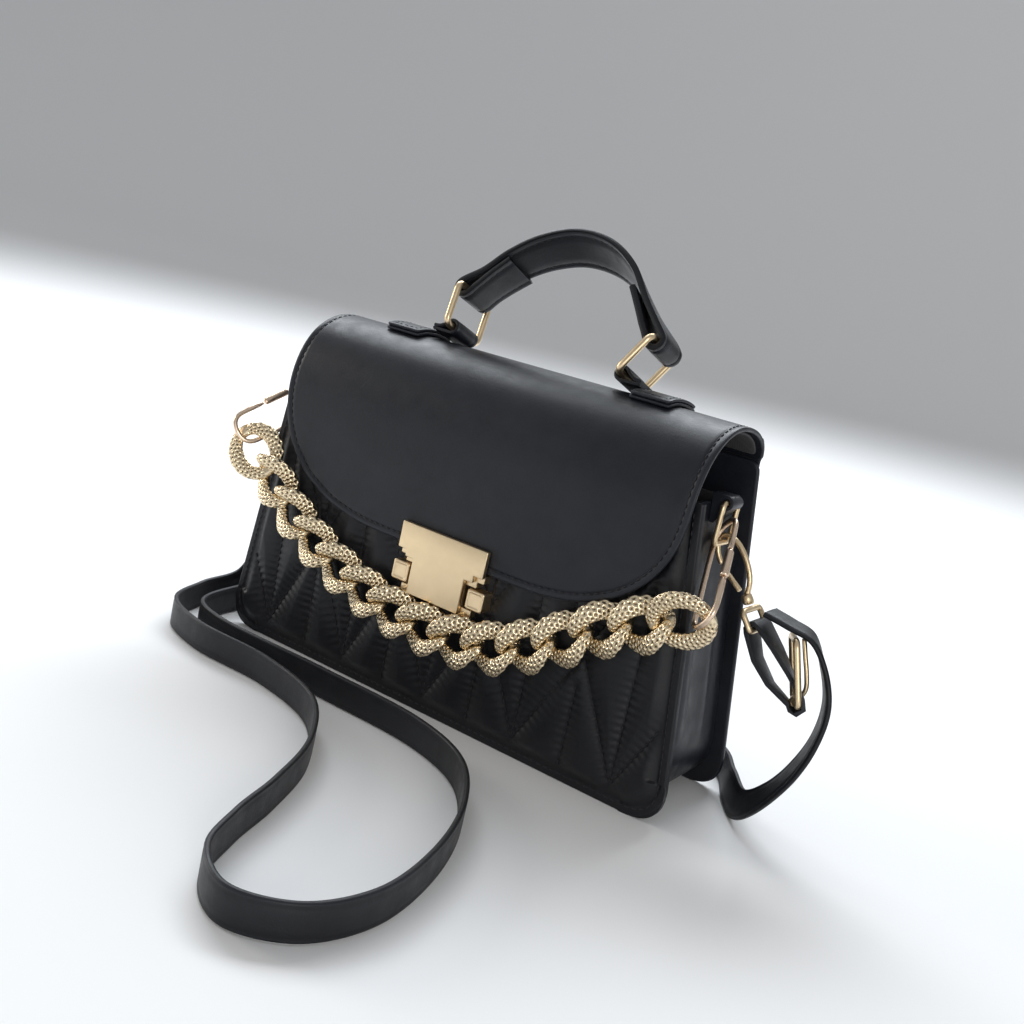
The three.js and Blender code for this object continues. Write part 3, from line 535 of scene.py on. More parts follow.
def rounded(corners, steps=10):
    """A closed outline through (x, y, radius) corners, each cut by a quadratic curve."""
    result = []
    count = len(corners)
    for k, (x, y, radius) in enumerate(corners):
        here = vec(x, y)
        before = unit(vec(*corners[k - 1][:2]) - here) * radius + here
        after = unit(vec(*corners[(k + 1) % count][:2]) - here) * radius + here
        for t in np.linspace(0, 1, steps + 1):
            result.append((1 - t) ** 2 * before + 2 * t * (1 - t) * here + t**2 * after)
    return np.array(result)


def even(outline, count):
    """The same closed outline at even steps."""
    closed = np.vstack([outline, outline[:1]])
    place = lengths(closed)
    return at_length(np.arange(count) * place[-1] / count, place, closed)


def drawn_in(outline, distance):
    """A counter-clockwise outline moved inwards."""
    tangent = along(outline, True)
    inward = np.stack([-tangent[:, 1], tangent[:, 0]], axis=1)
    return outline + inward * distance


def counter_clockwise(outline):
    x, y = outline.T
    area = np.sum(x * np.roll(y, -1) - np.roll(x, -1) * y)
    return outline if area > 0 else outline[::-1].copy()


# How far a leather sheet's edge sinks at each distance inside its outline: a bevel and a stitch groove.
RIM = [(0.0, 0.62), (0.1, 0.3), (0.35, 0.08), (0.8, 0.0), (1.7, 0.0), (2.1, 0.12), (2.4, 0.26), (2.7, 0.3)]
RIM += [(3.0, 0.26), (3.3, 0.12), (3.8, 0.0), (4.6, 0.0)]


def sheet_piece(outline, spine, inner_steps, thick, lift, surface, rim=RIM):
    """A leather piece with a bevelled edge and a stitch groove.

    `outline` is flat and counter-clockwise, `spine` gives the place each outline point closes on,
    `lift(p)` raises the flat point p, and `surface(p, h)` puts it in space at height h over the face.
    """
    rings = [(drawn_in(outline, inset), -sink) for inset, sink in rim]
    last = rings[-1][0]
    target = spine(last)
    rings += [(last + (target - last) * (k / inner_steps), 0.0) for k in range(1, inner_steps + 1)]
    under = [(drawn_in(outline, rim[k][0]), rise - thick) for k, rise in enumerate((0.62, 0.3, 0.08))]
    base = drawn_in(outline, 1.0)
    steps = max(inner_steps // 4, 2)
    under += [(base + (spine(base) - base) * (k / (steps - 1)), -thick) for k in range(steps)]
    layers = [surface(flat, np.full(len(outline), height)) for flat, height in reversed(under)]
    layers += [surface(flat, height + lift(flat)) for flat, height in rings]
    return np.concatenate(layers), grid_faces(len(layers), len(outline), False, True)


def no_lift(points):
    return np.zeros(len(points))


def weld(piece, distance=0.004):
    bm = bmesh.new()
    bm.from_mesh(piece.data)
    bmesh.ops.remove_doubles(bm, verts=bm.verts, dist=distance * MM)
    bmesh.ops.dissolve_degenerate(bm, edges=bm.edges, dist=distance * MM)
    bm.to_mesh(piece.data)
    bm.free()


def to_segment(a, b):
    """Closes points on the straight line from a to b."""
    a, b = vec(*a), vec(*b)

    def spine(points):
        share = np.clip(((points - a) @ (b - a)) / ((b - a) @ (b - a)), 0, 1)
        return a + share[:, None] * (b - a)

    return spine


def segment_distance(points, a, b):
    return np.linalg.norm(points - to_segment(a, b)(points), axis=1)


QUILT_PITCH = 43
QUILT_SPREAD = math.radians(27)
QUILT_BORDER = 7


def quilt_seams():
    """Fans of seams from apexes along the base, with an upright seam between them, and a second row."""
    half = QUILT_PITCH / 2
    seams = []
    for row, base, tall in ((0, 7.5, 41), (1, 52, 44)):
        for k in range(-2, 3):
            apex = QUILT_PITCH * k + half * row
            for angle in (-QUILT_SPREAD, 0, QUILT_SPREAD):
                reach = tall / math.cos(angle)
                seams.append(((apex, base), (apex + reach * math.sin(angle), base + reach * math.cos(angle))))
        for k in range(-3, 3):
            middle = QUILT_PITCH * k + half + half * row
            seams.append(((middle, base - 2), (middle, base + 30)))
    inside = []
    for (x0, z0), (x1, z1) in seams:
        limit = half_width(z0) - QUILT_BORDER
        if abs(x0) > limit:
            continue
        share = 1.0
        if abs(x1) > half_width(z1) - QUILT_BORDER:
            share = min(max(0.1, (limit - abs(x0)) / max(abs(x1) - abs(x0), 1e-6)), 1.0)
        inside.append(((x0, z0), (x0 + (x1 - x0) * share, z0 + (z1 - z0) * share)))
    return inside


def rough(points, scale, seed):
    """Smooth noise from a few random waves, about -1 to 1."""
    rng = np.random.default_rng(seed)
    total = np.zeros(len(points))
    for _ in range(9):
        direction = rng.normal(size=points.shape[1])
        direction /= np.linalg.norm(direction)
        total += np.sin((points @ direction) * rng.uniform(0.6, 1.6) / scale + rng.uniform(0, 6.28))
    return total / 4.5


FRONT_CORNER = 15.0
FRONT_COLUMNS = 300
LOW_ROWS, HIGH_ROWS = 40, 151


def front_reach(z):
    """Half the front panel's width, drawn in at its two lower corners."""
    t = 1 - np.sqrt(np.clip(z / FRONT_CORNER, 0, 1))
    return np.where(z < FRONT_CORNER, half_width(z) - FRONT_CORNER * t**2, half_width(z))


def front_grid():
    """Points of the front panel in x and z, closer together near its edges, and their share of its width."""
    bend = math.pi / 2 * 0.93
    us = np.sin(np.linspace(-1, 1, FRONT_COLUMNS) * bend) / math.sin(bend)
    low = FRONT_CORNER * (1 - np.cos(np.linspace(0, math.pi / 2, LOW_ROWS)))
    zs = np.concatenate([low, np.linspace(FRONT_CORNER, FRONT_TOP, HIGH_ROWS)[1:]])
    grid = np.stack(np.meshgrid(us, zs), axis=-1).reshape(-1, 2)
    flat = np.stack([grid[:, 0] * front_reach(grid[:, 1]), grid[:, 1]], axis=1)
    return flat, grid[:, 0]


def front_edge(flat, share):
    """Distance from each point to the panel's edge, near enough for a rim."""
    side = (1 - np.abs(share)) * front_reach(flat[:, 1]) * 0.99
    x, z = 92, 16.0  # the middle of the lower corners' arcs
    low = np.where(np.abs(flat[:, 0]) < x, flat[:, 1], 1e3)
    centre = np.stack([np.sign(flat[:, 0]) * x, np.full(len(flat), z)], axis=1)
    arc = 16.5 - np.linalg.norm(flat - centre, axis=1)
    in_corner = (np.abs(flat[:, 0]) > x) & (flat[:, 1] < z)
    edge = np.where(in_corner, np.minimum(np.maximum(arc, 0), side + 3), np.minimum(side, low))
    return np.minimum(edge, FRONT_TOP - flat[:, 1] + 4)


def quilted_height(flat, edge, seams):
    """How far the padding stands out: swollen between the seams, puckered beside them, flat at the rim."""
    gap = np.full(len(flat), 1e3)
    slide = np.zeros(len(flat))
    for a, b in seams:
        d = segment_distance(flat, a, b)
        slide = np.where(d < gap, (flat - vec(*a)) @ unit(vec(*b) - vec(*a)), slide)
        gap = np.minimum(gap, d)
    swell = 2.7 * (1 - np.exp(-gap / 4.6)) - 0.1
    ripple = np.sin(slide * 2 * math.pi / STITCH_PITCH + rough(flat, 9, 4))
    pucker = 0.3 * np.exp(-gap / 2.6) * ripple * (1 - np.exp(-gap / 0.5))
    soft = 0.26 * rough(flat, 6, 5) * (1 - np.exp(-gap / 3))
    inner = np.clip((edge - 3.4) / 5.5, 0, 1)
    inner = inner * inner * (3 - 2 * inner)
    groove = 0.35 * (1 - inner) * np.clip((edge - 2.9) / 0.6, 0, 1)
    bevel = 0.55 * np.clip(1 - edge / 0.7, 0, 1) ** 2
    return (swell + pucker + soft) * inner - groove - bevel


def front_stitches(name, line, sink, thick):
    place = np.stack([line[:, 0], front_face(line[:, 1]) - sink, line[:, 1]], axis=1)
    stitches(name, place, np.tile(FRONT, (len(place), 1)), "bag", thick)


def front_panel():
    seams = quilt_seams()
    flat, share = front_grid()
    height = quilted_height(flat, front_edge(flat, share), seams)
    face = np.stack([flat[:, 0], front_face(flat[:, 1]) - height, flat[:, 1]], axis=1)
    back = np.stack([flat[:, 0], front_face(flat[:, 1]) + FRONT_THICK, flat[:, 1]], axis=1)
    columns = FRONT_COLUMNS
    rows = len(flat) // columns
    border = list(range(columns))
    border += [r * columns + columns - 1 for r in range(1, rows)]
    border += [(rows - 1) * columns + c for c in range(columns - 2, -1, -1)]
    border += [r * columns for r in range(rows - 2, 0, -1)]
    faces = grid_faces(rows, columns)
    start, total = len(face), len(border)
    for k in range(total):
        k2 = (k + 1) % total
        faces.append((border[k], border[k2], start + k2, start + k))
    faces.append(tuple(start + k for k in reversed(range(total))))
    verts = np.vstack([face, back[border]])
    piece = build("front_panel_quilted", verts, faces, QUILTED, "bag", ["front_panel"])
    weld(piece)
    clean(piece, 50)
    number = 0
    for a, b in seams:
        steps = max(int(math.dist(a, b)), 2)
        line = vec(*a) + np.linspace(0, 1, steps)[:, None] * (vec(*b) - vec(*a))
        line = line[(np.abs(line[:, 0]) < half_width(line[:, 1]) - 5) & (line[:, 1] < 112)]
        if len(line) > 3:
            front_stitches(f"quilt_stitches_{number:02d}", line, 0.06, 0.26)
            number += 1
    front_stitches("front_rim_stitches", panel_line(FRONT_TOP - 3, 2.9), 0.05, 0.24)


def panel_line(top, inset, corner=15):
    """A line `inset` inside the sides and base of a panel, open at the top."""
    reach = corner - inset * 0.6
    corners = [(-half_width(top) + inset, top, 0.1), (-half_width(0) + inset, inset, reach)]
    corners += [(half_width(0) - inset, inset, reach), (half_width(top) - inset, top, 0.1)]
    return rounded(corners)[10:-10]


def back_surface(flat, height):
    return np.stack([flat[:, 0], back_face(flat[:, 1]) + height, flat[:, 1]], axis=1)


def back_lift(flat):
    return 0.22 * rough(flat, 22, 8) * np.clip((half_width(flat[:, 1]) - np.abs(flat[:, 0]) - 5) / 15, 0, 1)


def back_panel():
    low, high = half_width(0), half_width(BACK_TOP)
    corners = [(-low, 0, 15), (low, 0, 15), (high, BACK_TOP, 4), (-high, BACK_TOP, 4)]
    outline = counter_clockwise(even(rounded(corners), 420))
    spine = to_segment((-60, 64), (60, 64))
    points, faces = sheet_piece(outline, spine, 26, BACK_THICK, back_lift, back_surface)
    piece = build("back_panel_leather", points, faces, LEATHER, "bag", ["back_panel"])
    finish_sheet(piece)
    line = drawn_in(outline, 2.7)
    place = back_surface(line, -0.22)
    stitches("back_rim_stitches", place, np.tile(-FRONT, (len(place), 1)), "bag", 0.24)


def finish_sheet(piece):
    weld(piece)
    clean(piece, 60)


def gusset_path(recess, corner, top):
    """The gusset's line in x and z, down one side, under the base and up the other, and its outward side."""
    corners = [(-half_width(top) + recess, top, 0), (-half_width(0) + recess, 0, corner)]
    corners += [(half_width(0) - recess, 0, corner), (half_width(top) - recess, top, 0)]
    steps = 24
    path = rounded(corners, steps)[steps : -steps]
    place = lengths(path)
    path = at_length(np.linspace(0, place[-1], 420), place, path)
    tangent = along(path)
    outward = np.stack([tangent[:, 1], -tangent[:, 0]], axis=1)
    inwards = outward[:, :1] * path[:, :1] + outward[:, 1:] * (path[:, 1:] - 60) < 0
    return path, np.where(inwards, -outward, outward)


def gusset():
    thick = 1.6
    path, outward = gusset_path(5, 24, FRONT_TOP - 1)
    across = np.linspace(0, 1, 56)
    folds = 0.75 * np.exp(-((across - 0.3) ** 2) / 0.004) + 0.9 * np.exp(-((across - 0.68) ** 2) / 0.006)
    seam = np.clip(np.minimum(across, 1 - across) / 0.14, 0, 1)
    rows = []
    for (x, z), (out_x, out_z) in zip(path, outward):
        y0 = front_face(z) + FRONT_THICK + 0.3
        y1 = back_face(z) - BACK_THICK - 0.3
        y = y0 + (y1 - y0) * across
        side = 1 / (1 + math.exp(-(z - 26) / 5))
        near_tab = math.exp(-((z - 106) ** 2) / 350)
        free = side * (1 - near_tab * np.exp(-((y + 7.5) ** 2) / 90))
        swell = free * (folds + 0.25 * np.sin(across * 19 + 0.05 * z)) * seam
        skin = np.stack([x + out_x * swell, y, z + out_z * swell], axis=1)
        inner = np.stack([np.full(len(y), x - out_x * thick), y, np.full(len(y), z - out_z * thick)], axis=1)
        rows.append(np.concatenate([skin, inner[::-1]]))
    loop = np.array(rows)
    faces = tube_faces(*loop.shape[:2])
    piece = build("gusset_leather", loop.reshape(-1, 3), faces, LEATHER, "bag", ["gusset"])
    clean(piece, 50)


# ---- flap
FLAP_HALF = 93
FLAP_DROP = 65
FLAP_CORNER_TOP = 115
FLAP_FLAT = 30
FOLD_Z = 126
# The flap's outer face in Y and Z, from the back seam over the top and down the front.
FLAP_POINTS = [(19.4, 129.4), (17.4, 134.4), (11, 138.7), (2, 141), (-8, 141.2), (-17, 138.6), (-25, 133)]
FLAP_POINTS += [(-30.6, 124.5), (-33.4, 114), (-33.8, 100), (-33.2, 82), (-32.6, FLAP_DROP)]


def flap_profile(count=600):
    """The flap's outer face: points in Y and Z, outward directions and lengths along it."""
    pts = np.array(FLAP_POINTS, float)
    last = len(pts) - 1
    profile = []
    for k in range(count + 1):
        t = k / count * last
        i = min(int(t), last - 1)
        w = t - i
        p0, p1 = pts[max(i - 1, 0)], pts[i]
        p2, p3 = pts[i + 1], pts[min(i + 2, last)]
        v0, v1 = (p2 - p0) / 2, (p3 - p1) / 2
        profile.append(
            (2 * p1 - 2 * p2 + v0 + v1) * w**3 + (-3 * p1 + 3 * p2 - 2 * v0 - v1) * w**2 + v0 * w + p1
        )
    profile = np.array(profile)
    tangent = along(profile)
    out = np.stack([tangent[:, 1], -tangent[:, 0]], axis=1)
    out = -out if out[count // 2, 1] < 0 else out
    return profile, out, lengths(profile)


PROFILE, PROFILE_OUT, PROFILE_LENGTH = flap_profile()


def length_at(z):
    """Length along the flap to a height on its front."""
    front = PROFILE[:, 0] < -25
    return float(np.interp(-z, -PROFILE[front, 1], PROFILE_LENGTH[front]))


def on_flap(flat, height):
    """A point in space from (x, length along the flap) and a height over the flap's outer face."""
    s = flat[:, 1]
    y, z = at_length(s, PROFILE_LENGTH, PROFILE).T
    out_y, out_z = at_length(s, PROFILE_LENGTH, PROFILE_OUT).T
    beyond = np.clip(-s, 0, None)
    return np.stack([flat[:, 0], y + out_y * height, z + out_z * height - beyond], axis=1)


def under_flap(flat, height):
    return on_flap(flat, height - 2.1)


def flap_lift(flat):
    return 0.1 * rough(flat, 26, 12) * np.clip((FLAP_HALF - 8 - np.abs(flat[:, 0])) / 20, 0, 1)


def flap_outline(inset, start, count=640):
    """The flap's outline in x and length along it: straight at the back, a wide curve at the front."""
    side = []
    power = 2 / 2.4
    for angle in np.linspace(0, math.pi / 2, 60):
        x = FLAP_FLAT + (FLAP_HALF - FLAP_FLAT - inset) * math.cos(angle) ** power
        z = FLAP_CORNER_TOP - (FLAP_CORNER_TOP - FLAP_DROP - inset) * math.sin(angle) ** power
        side.append((x, length_at(z)))
    left = [(-x, s) for x, s in reversed(side)]
    edge = FLAP_HALF - inset
    start_corners = [(-edge + 1.2, start), (-edge + 0.35, start + 0.35), (-edge, start + 1.2)]
    outline = side + left + start_corners[::-1] + [(-x, s) for x, s in start_corners]
    return counter_clockwise(even(np.array(outline), count))


def flap():
    fold = length_at(FOLD_Z)
    ends = [tuple(on_flap(vec(0, s)[None], np.zeros(1))[0] * MM) for s in (fold - 7, fold + 7)]
    outline = flap_outline(0, 0)
    spine = to_segment((-52, 62), (52, 62))
    points, faces = sheet_piece(outline, spine, 44, 1.8, flap_lift, on_flap)
    piece = build("flap_leather", points, faces, LEATHER, None, ["flap_top", "flap_front"])
    finish_sheet(piece)
    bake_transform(piece)
    edge = [(0.0, 0.4), (0.1, 0.2), (0.3, 0.0)]
    points, faces = sheet_piece(flap_outline(2.5, 1.6), spine, 30, 1.0, no_lift, under_flap, edge)
    nodes = ["flap_top_lining", "flap_front_lining"]
    lining = build("flap_lining", points, faces, LINING, None, nodes)
    finish_sheet(lining)
    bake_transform(lining)
    line = drawn_in(outline, 2.7)
    above = on_flap(line, np.full(len(line), -0.24))
    normal = on_flap(line, np.ones(len(line))) - on_flap(line, np.zeros(len(line)))
    thread = stitches("flap_stitches", above, normal, None, 0.25)
    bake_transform(thread)


def flap_seam():
    """The strip that joins the flap to the back panel, sewn to both."""
    route = [(back_face(z) + 0.55, z) for z in (117, 120, 123.5, 126.5, 128.6)]
    for s in (1.0, 2.5, 4.5, 6.5, 8.5):
        route.append(tuple(on_flap(vec(0, s)[None], vec(0.5))[0][1:]))
    points = spline(np.array([(0.0, y, z) for y, z in route]), 90)
    across = np.tile([1.0, 0, 0], (len(points), 1))
    verts, faces = sweep(points, across, band_section(2 * FLAP_HALF - 1.2, 0.9, 2.2, 0.0, 0.0))
    piece = build("flap_seam_leather", verts, faces, LEATHER, None)
    clean(piece, 60)
    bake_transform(piece)
    outward = unit(np.cross(across, along(points)))
    outward = np.where(outward[:, 1:2] < 0, -outward, outward)
    xs = np.linspace(-90, 90, 400)
    for number, (at, body) in enumerate(((6, "bag"), (84, "flap"))):
        line = np.tile(points[at] + outward[at] * 0.42, (len(xs), 1))
        line[:, 0] = xs
        normals = np.tile(outward[at], (len(xs), 1))
        stitches(f"flap_seam_stitches_{number}", line, normals, body, 0.22)


# ---- lock
BUTTON_INSIDE, BUTTON_OUTSIDE = 14.2, 22
BUTTON_LOW, BUTTON_HIGH = 50.2, 58
# A button's rings: how far each is drawn in, and its place in Y. Its face is dished.
BUTTON_RINGS = [(0, -27.9), (0, -33.55), (0.12, -33.82), (0.4, -34.0), (0.95, -34.0), (1.1, -33.92)]
BUTTON_RINGS += [(1.25, -33.8), (1.5, -33.76), (2.6, -33.76), (3.6, -33.76)]


def lock():
    beveled_copy("lock_plate_gold", "lock_plate", GOLD, "flap_front", 0.35)
    beveled_copy("lock_base_gold", "lock_base", GOLD, "bag", 0.25)
    inside, outside, low, high = BUTTON_INSIDE, BUTTON_OUTSIDE, BUTTON_LOW, BUTTON_HIGH
    corners = [(inside, low, 0.9), (outside, low, 0.9), (outside, high, 0.9), (inside, high, 0.9)]
    sides = 72
    outline = even(rounded(corners, 6), sides)
    middle = vec((inside + outside) / 2, (low + high) / 2)
    half = (outside - inside) / 2
    for name, side in SIDES:
        node = f"lock_button_{name}"
        rings = []
        for inset, y in BUTTON_RINGS:
            flat = middle + (outline - middle) * (1 - inset / half)
            rings.append(np.stack([side * flat[:, 0], np.full(sides, y), flat[:, 1]], axis=1))
        faces = tube_faces(len(rings), sides)
        clean(build(f"{node}_gold", np.concatenate(rings), faces, GOLD, node, [node]), 40)


# ---- rings and wires
def node_points(name):
    source = bpy.data.objects[name]
    world = source.matrix_world
    return np.array([tuple(world @ v.co) for v in source.data.vertices]) / MM


def principal_axes(points):
    return np.linalg.svd(points - points.mean(axis=0), full_matrices=False)[2]


def ring_fit(name):
    """The middle, axes and outer size of a flat wire ring in the CAD model."""
    points = node_points(name)
    u, v, normal = principal_axes(points)
    best = None
    for degrees in np.arange(0, 90, 0.25):
        angle = math.radians(degrees)
        a = u * math.cos(angle) + v * math.sin(angle)
        b = np.cross(normal, a)
        spans = [np.ptp(points @ d) for d in (a, b)]
        if best is None or spans[0] * spans[1] < best[0]:
            best = (spans[0] * spans[1], a, b, spans)
    _, a, b, spans = best
    if spans[1] > spans[0]:
        a, b, spans = b, -a, spans[::-1]
    middle = [0.5 * ((points @ d).min() + (points @ d).max()) for d in (a, b, normal)]
    centre = a * middle[0] + b * middle[1] + normal * middle[2]
    return centre, a, b, spans


def wire_ring(name, node, wire, corner, body):
    """A round wire bent into a ring with rounded corners, at the place of a CAD ring."""
    centre, a, b, spans = ring_fit(node)
    half_l, half_w = ((span - 2 * 0.87 * wire) / 2 for span in spans)
    corners = [(-half_l, -half_w, corner), (half_l, -half_w, corner)]
    corners += [(half_l, half_w, corner), (-half_l, half_w, corner)]
    outline = even(rounded(corners, 8), 120)
    points = centre + outline[:, :1] * a + outline[:, 1:] * b
    normal = np.tile(np.cross(a, b), (len(points), 1))
    verts, faces = sweep(points, normal, circle(wire, 12), True)
    clean(build(name, verts, faces, GOLD, body, [node]))


def sleeve(node, radius):
    """A round sleeve with turned-in ends, as long as the CAD gate that it stands for."""
    gate = node_points(node)
    centre, axis = gate.mean(axis=0), principal_axes(gate)[0]
    span = (gate - centre) @ axis
    start, end = centre + axis * span.min(), centre + axis * span.max()
    run = unit(end - start)
    stops = [(0, 0.55), (0.15, 0.86), (0.5, 0.98), (0.9, 1.0)]
    length = np.linalg.norm(end - start)
    stops = stops + [(length - s, r) for s, r in reversed(stops)]
    points = np.array([start + run * s for s, _ in stops])
    sections = np.array([circle(radius * r, 20) for _, r in stops])
    helper = vec(0, 0, 1) if abs(run[2]) < 0.9 else vec(1, 0, 0)
    verts, faces = sweep(points, np.tile(np.cross(run, helper), (len(points), 1)), sections)
    clean(build(f"{node}_sleeve", verts, faces, ROSE_GOLD, node, [node]))


PRONG_ROUTE = [(136.9, 53.3), (135.2, 52.9), (133.8, 54.4), (134.4, 56.3), (136.2, 57.2), (137.5, 60.5)]
PRONG_ROUTE += [(136.4, 65.5), (134.2, 71.5), (132.2, 77.2)]


def rings():
    for name, _ in SIDES:
        wire_ring(f"handle_ring_{name}_gold", f"handle_ring_{name}", 1.4, 3, "handle")
        wire_ring(f"side_ring_{name}_gold", f"side_ring_{name}", 1.0, 2.4, "bag")
        wire_ring(f"snap_eye_{name}_gold", f"snap_eye_{name}", 1.1, 2, "bag")
        oval = f"oval_ring_{name}"
        smooth_copy(f"{oval}_gold", oval, ROSE_GOLD, "chain", join_quads)
        sleeve(f"oval_gate_{name}", 1.5)
    wire_ring("buckle_frame_gold", "buckle_frame", 1.2, 2.5, "bag")
    points = spline(np.array([(x, -3.2, z) for x, z in PRONG_ROUTE]), 60)
    verts, faces = sweep(points, np.tile([0, 1.0, 0], (len(points), 1)), circle(0.85, 12))
    clean(build("buckle_prong_gold", verts, faces, GOLD, "bag", ["buckle_prong"]))


def leave(bm):
    """Keeps a mesh as it is."""


def hooks():
    for name, _ in SIDES:
        hook, gate = f"snap_hook_{name}", f"snap_gate_{name}"
        smooth_copy(f"{hook}_gold", hook, GOLD, "bag", leave)
        beveled_copy(f"{gate}_gold", gate, GOLD, gate)


# ---- handle
# The handle's own frame leans forwards. In it, Y is 0, and the two tops are the rings' upper bars.
HANDLE_FRAME = np.array(Matrix.Translation((0, 4, 145.4)) @ Matrix.Rotation(math.radians(-18), 4, "X"))
RING_REACH = 17
LEFT_TOP = vec(-41.4, 0, math.sqrt(RING_REACH**2 - 1.4**2))
RIGHT_TOP = vec(47.6, 0, math.sqrt(RING_REACH**2 - 7.6**2))
HANDLE_ARCH = [(-35.5, 25), (-27, 33.5), (-16, 41), (-1.5, 46), (13.5, 45), (27, 38.5), (38.5, 27.5)]
BAR_FOLD = 1.4 + 0.5 + 1.3
TAILS = {-1: [(16.5, 14.7), (10.1, 7.9), (5.3, 2.0)], 1: [(18, 17), (11.2, 9.1), (5.4, 1.9)]}


def turned_by_handle(vectors):
    return vectors @ HANDLE_FRAME[:3, :3].T


def from_handle(points):
    return turned_by_handle(points) + HANDLE_FRAME[:3, 3]


def band_fold(top, side):
    """The band's end, from its tail round a ring's upper bar."""
    result = [vec(top[0] - side * x, 0, top[2] + z) for x, z in TAILS[side]]
    for degrees in (-35, -75, -115, -155, -195, -230):
        angle = math.radians(degrees)
        result.append(vec(top[0] - side * BAR_FOLD * math.cos(angle), 0, top[2] + BAR_FOLD * math.sin(angle)))
    return result


def handle_band():
    arch = [vec(x, 0, z) for x, z in HANDLE_ARCH]
    route = [*band_fold(LEFT_TOP, -1), *arch, *reversed(band_fold(RIGHT_TOP, 1))]
    points = spline(np.array(route), 300)
    rise = np.clip((points[:, 2] - 20) / 29, 0, 1)
    twist = math.radians(-26) * rise
    across = np.stack([np.zeros(len(points)), np.cos(twist), np.sin(twist)], axis=1)
    verts, faces = sweep(points, across, band_section(19.5, 2.5, 2.6, 0.28, 0.12))
    verts = from_handle(verts)
    clean(build("handle_band_leather", verts, faces, STRAP_LEATHER, "handle", ["handle_band"]), 60)
    tangent = along(points)
    first = square_to(across, tangent)
    second = np.cross(tangent, first)
    sewn = slice(4, 297)
    for number, (edge, face) in enumerate(((7.15, 1), (-7.15, 1), (7.15, -1), (-7.15, -1))):
        line = from_handle(points + first * edge + second * face * 0.98)[sewn]
        normals = turned_by_handle(second * face)[sewn]
        stitches(f"handle_stitches_{number}", line, normals, "handle", 0.22)


def handle_loops():
    """The tabs' ends, each folded round a ring's lower bar."""
    radius = 1.85 + 0.75
    for name, side in SIDES:
        path = [vec(8.3, 0, -1.15), vec(5.4, 0, -0.75)]
        for angle in np.linspace(0.55, 1.5 * math.pi, 22):
            path.append(vec(radius * math.cos(angle), 0, radius * math.sin(angle)))
        path += [vec(4.2, 0, -2.5), vec(8.3, 0, -2.35)]
        points = spline(np.array(path), 90)
        points[:, 0] = side * (points[:, 0] + 40)
        across = np.tile([0, 1.0, 0], (len(points), 1))
        verts, faces = sweep(points, across, band_section(17, 1.3, 2.2, 0.1, 0.05))
        node = f"handle_loop_{name}"
        piece = build(f"{node}_leather", from_handle(verts), faces, LEATHER, "handle", [node])
        clean(piece, 60)


TAB_RIM = [(0.0, 0.45), (0.1, 0.2), (0.35, 0.04), (0.8, 0.0), (1.7, 0.0), (2.0, 0.14), (2.2, 0.2)]
TAB_RIM += [(2.4, 0.14), (2.8, 0.0)]
# A tab's two layers: heights of their faces over the flap, and how far the layer is drawn in.
TAB_LAYERS = ((0.3, 1.65, 0.0), (1.75, 3.1, 0.25))


def handle_tabs():
    begin, end = (np.interp(t * 600, np.arange(601), PROFILE_LENGTH) for t in (0.19, 0.405))
    for name, side in SIDES:
        node = f"handle_tab_{name}"
        middle = side * 57.5
        spine = to_segment((middle, begin + 9), (middle, end - 9))
        points, faces = np.empty((0, 3)), []
        for low, high, inset in TAB_LAYERS:
            half = 8.5 - inset
            corners = [(middle - half, begin + inset, 1.4), (middle + half, begin + inset, 1.4)]
            corners += [(middle + half, end - inset, 1.4), (middle - half, end - inset, 1.4)]
            outline = counter_clockwise(even(rounded(corners, 6), 200))

            def surface(flat, height, top=high):
                return on_flap(flat, height + top)

            layer, layer_faces = sheet_piece(outline, spine, 8, high - low, no_lift, surface, TAB_RIM)
            faces += [tuple(i + len(points) for i in f) for f in layer_faces]
            points = np.vstack([points, layer])
        line = drawn_in(outline, 2.2)
        above = on_flap(line, np.full(len(line), high - 0.12))
        normal = above - on_flap(line, np.zeros(len(line)))
        stitches(f"{node}_stitches", above, normal, "flap", 0.2, 2.7, 1.7)
        finish_sheet(build(f"{node}_leather", points, faces, LEATHER, "flap", [node]))


# ---- chain
CHAIN_ROUTE = [(-88.5, -37, 70), (-75, -36, 59.2), (-57.5, -35.8, 49.6), (-36, -35.8, 41.8), (-13, -36, 37.4)]
CHAIN_ROUTE += [(10, -36, 36.6), (33, -35.8, 41), (54, -35.8, 51.2), (72, -35.8, 62.8), (87, -36, 70.2)]
LINKS = 13
LINK_TWIST = math.radians(-53)
END_LINK_LEAN = math.radians(28)
PIT_PITCH = 1.75  # along a link, from one row of pits to the next
PITS_AROUND = 8
PIT_RADIUS = 0.36  # as a share of the step between pits


def pitted(place, loop_length, girth):
    """How deep each point of a link's surface lies in its nearest pit, 0 to 1, and its distance from it."""
    rows = 2 * round(loop_length / PIT_PITCH / 2)
    u = place[:, None] * rows
    v = girth[None] * PITS_AROUND * np.ones_like(u)
    nearest = np.full(u.shape, 9.0)
    for shift in (0, 1):
        du = (u - shift) / 2 - np.round((u - shift) / 2)
        dv = v - 0.5 * shift - np.round(v - 0.5 * shift)
        nearest = np.minimum(nearest, np.hypot(du * 2 * 0.92, dv))
    return np.sqrt(np.clip(1 - (nearest / PIT_RADIUS) ** 2, 0, 1)), nearest


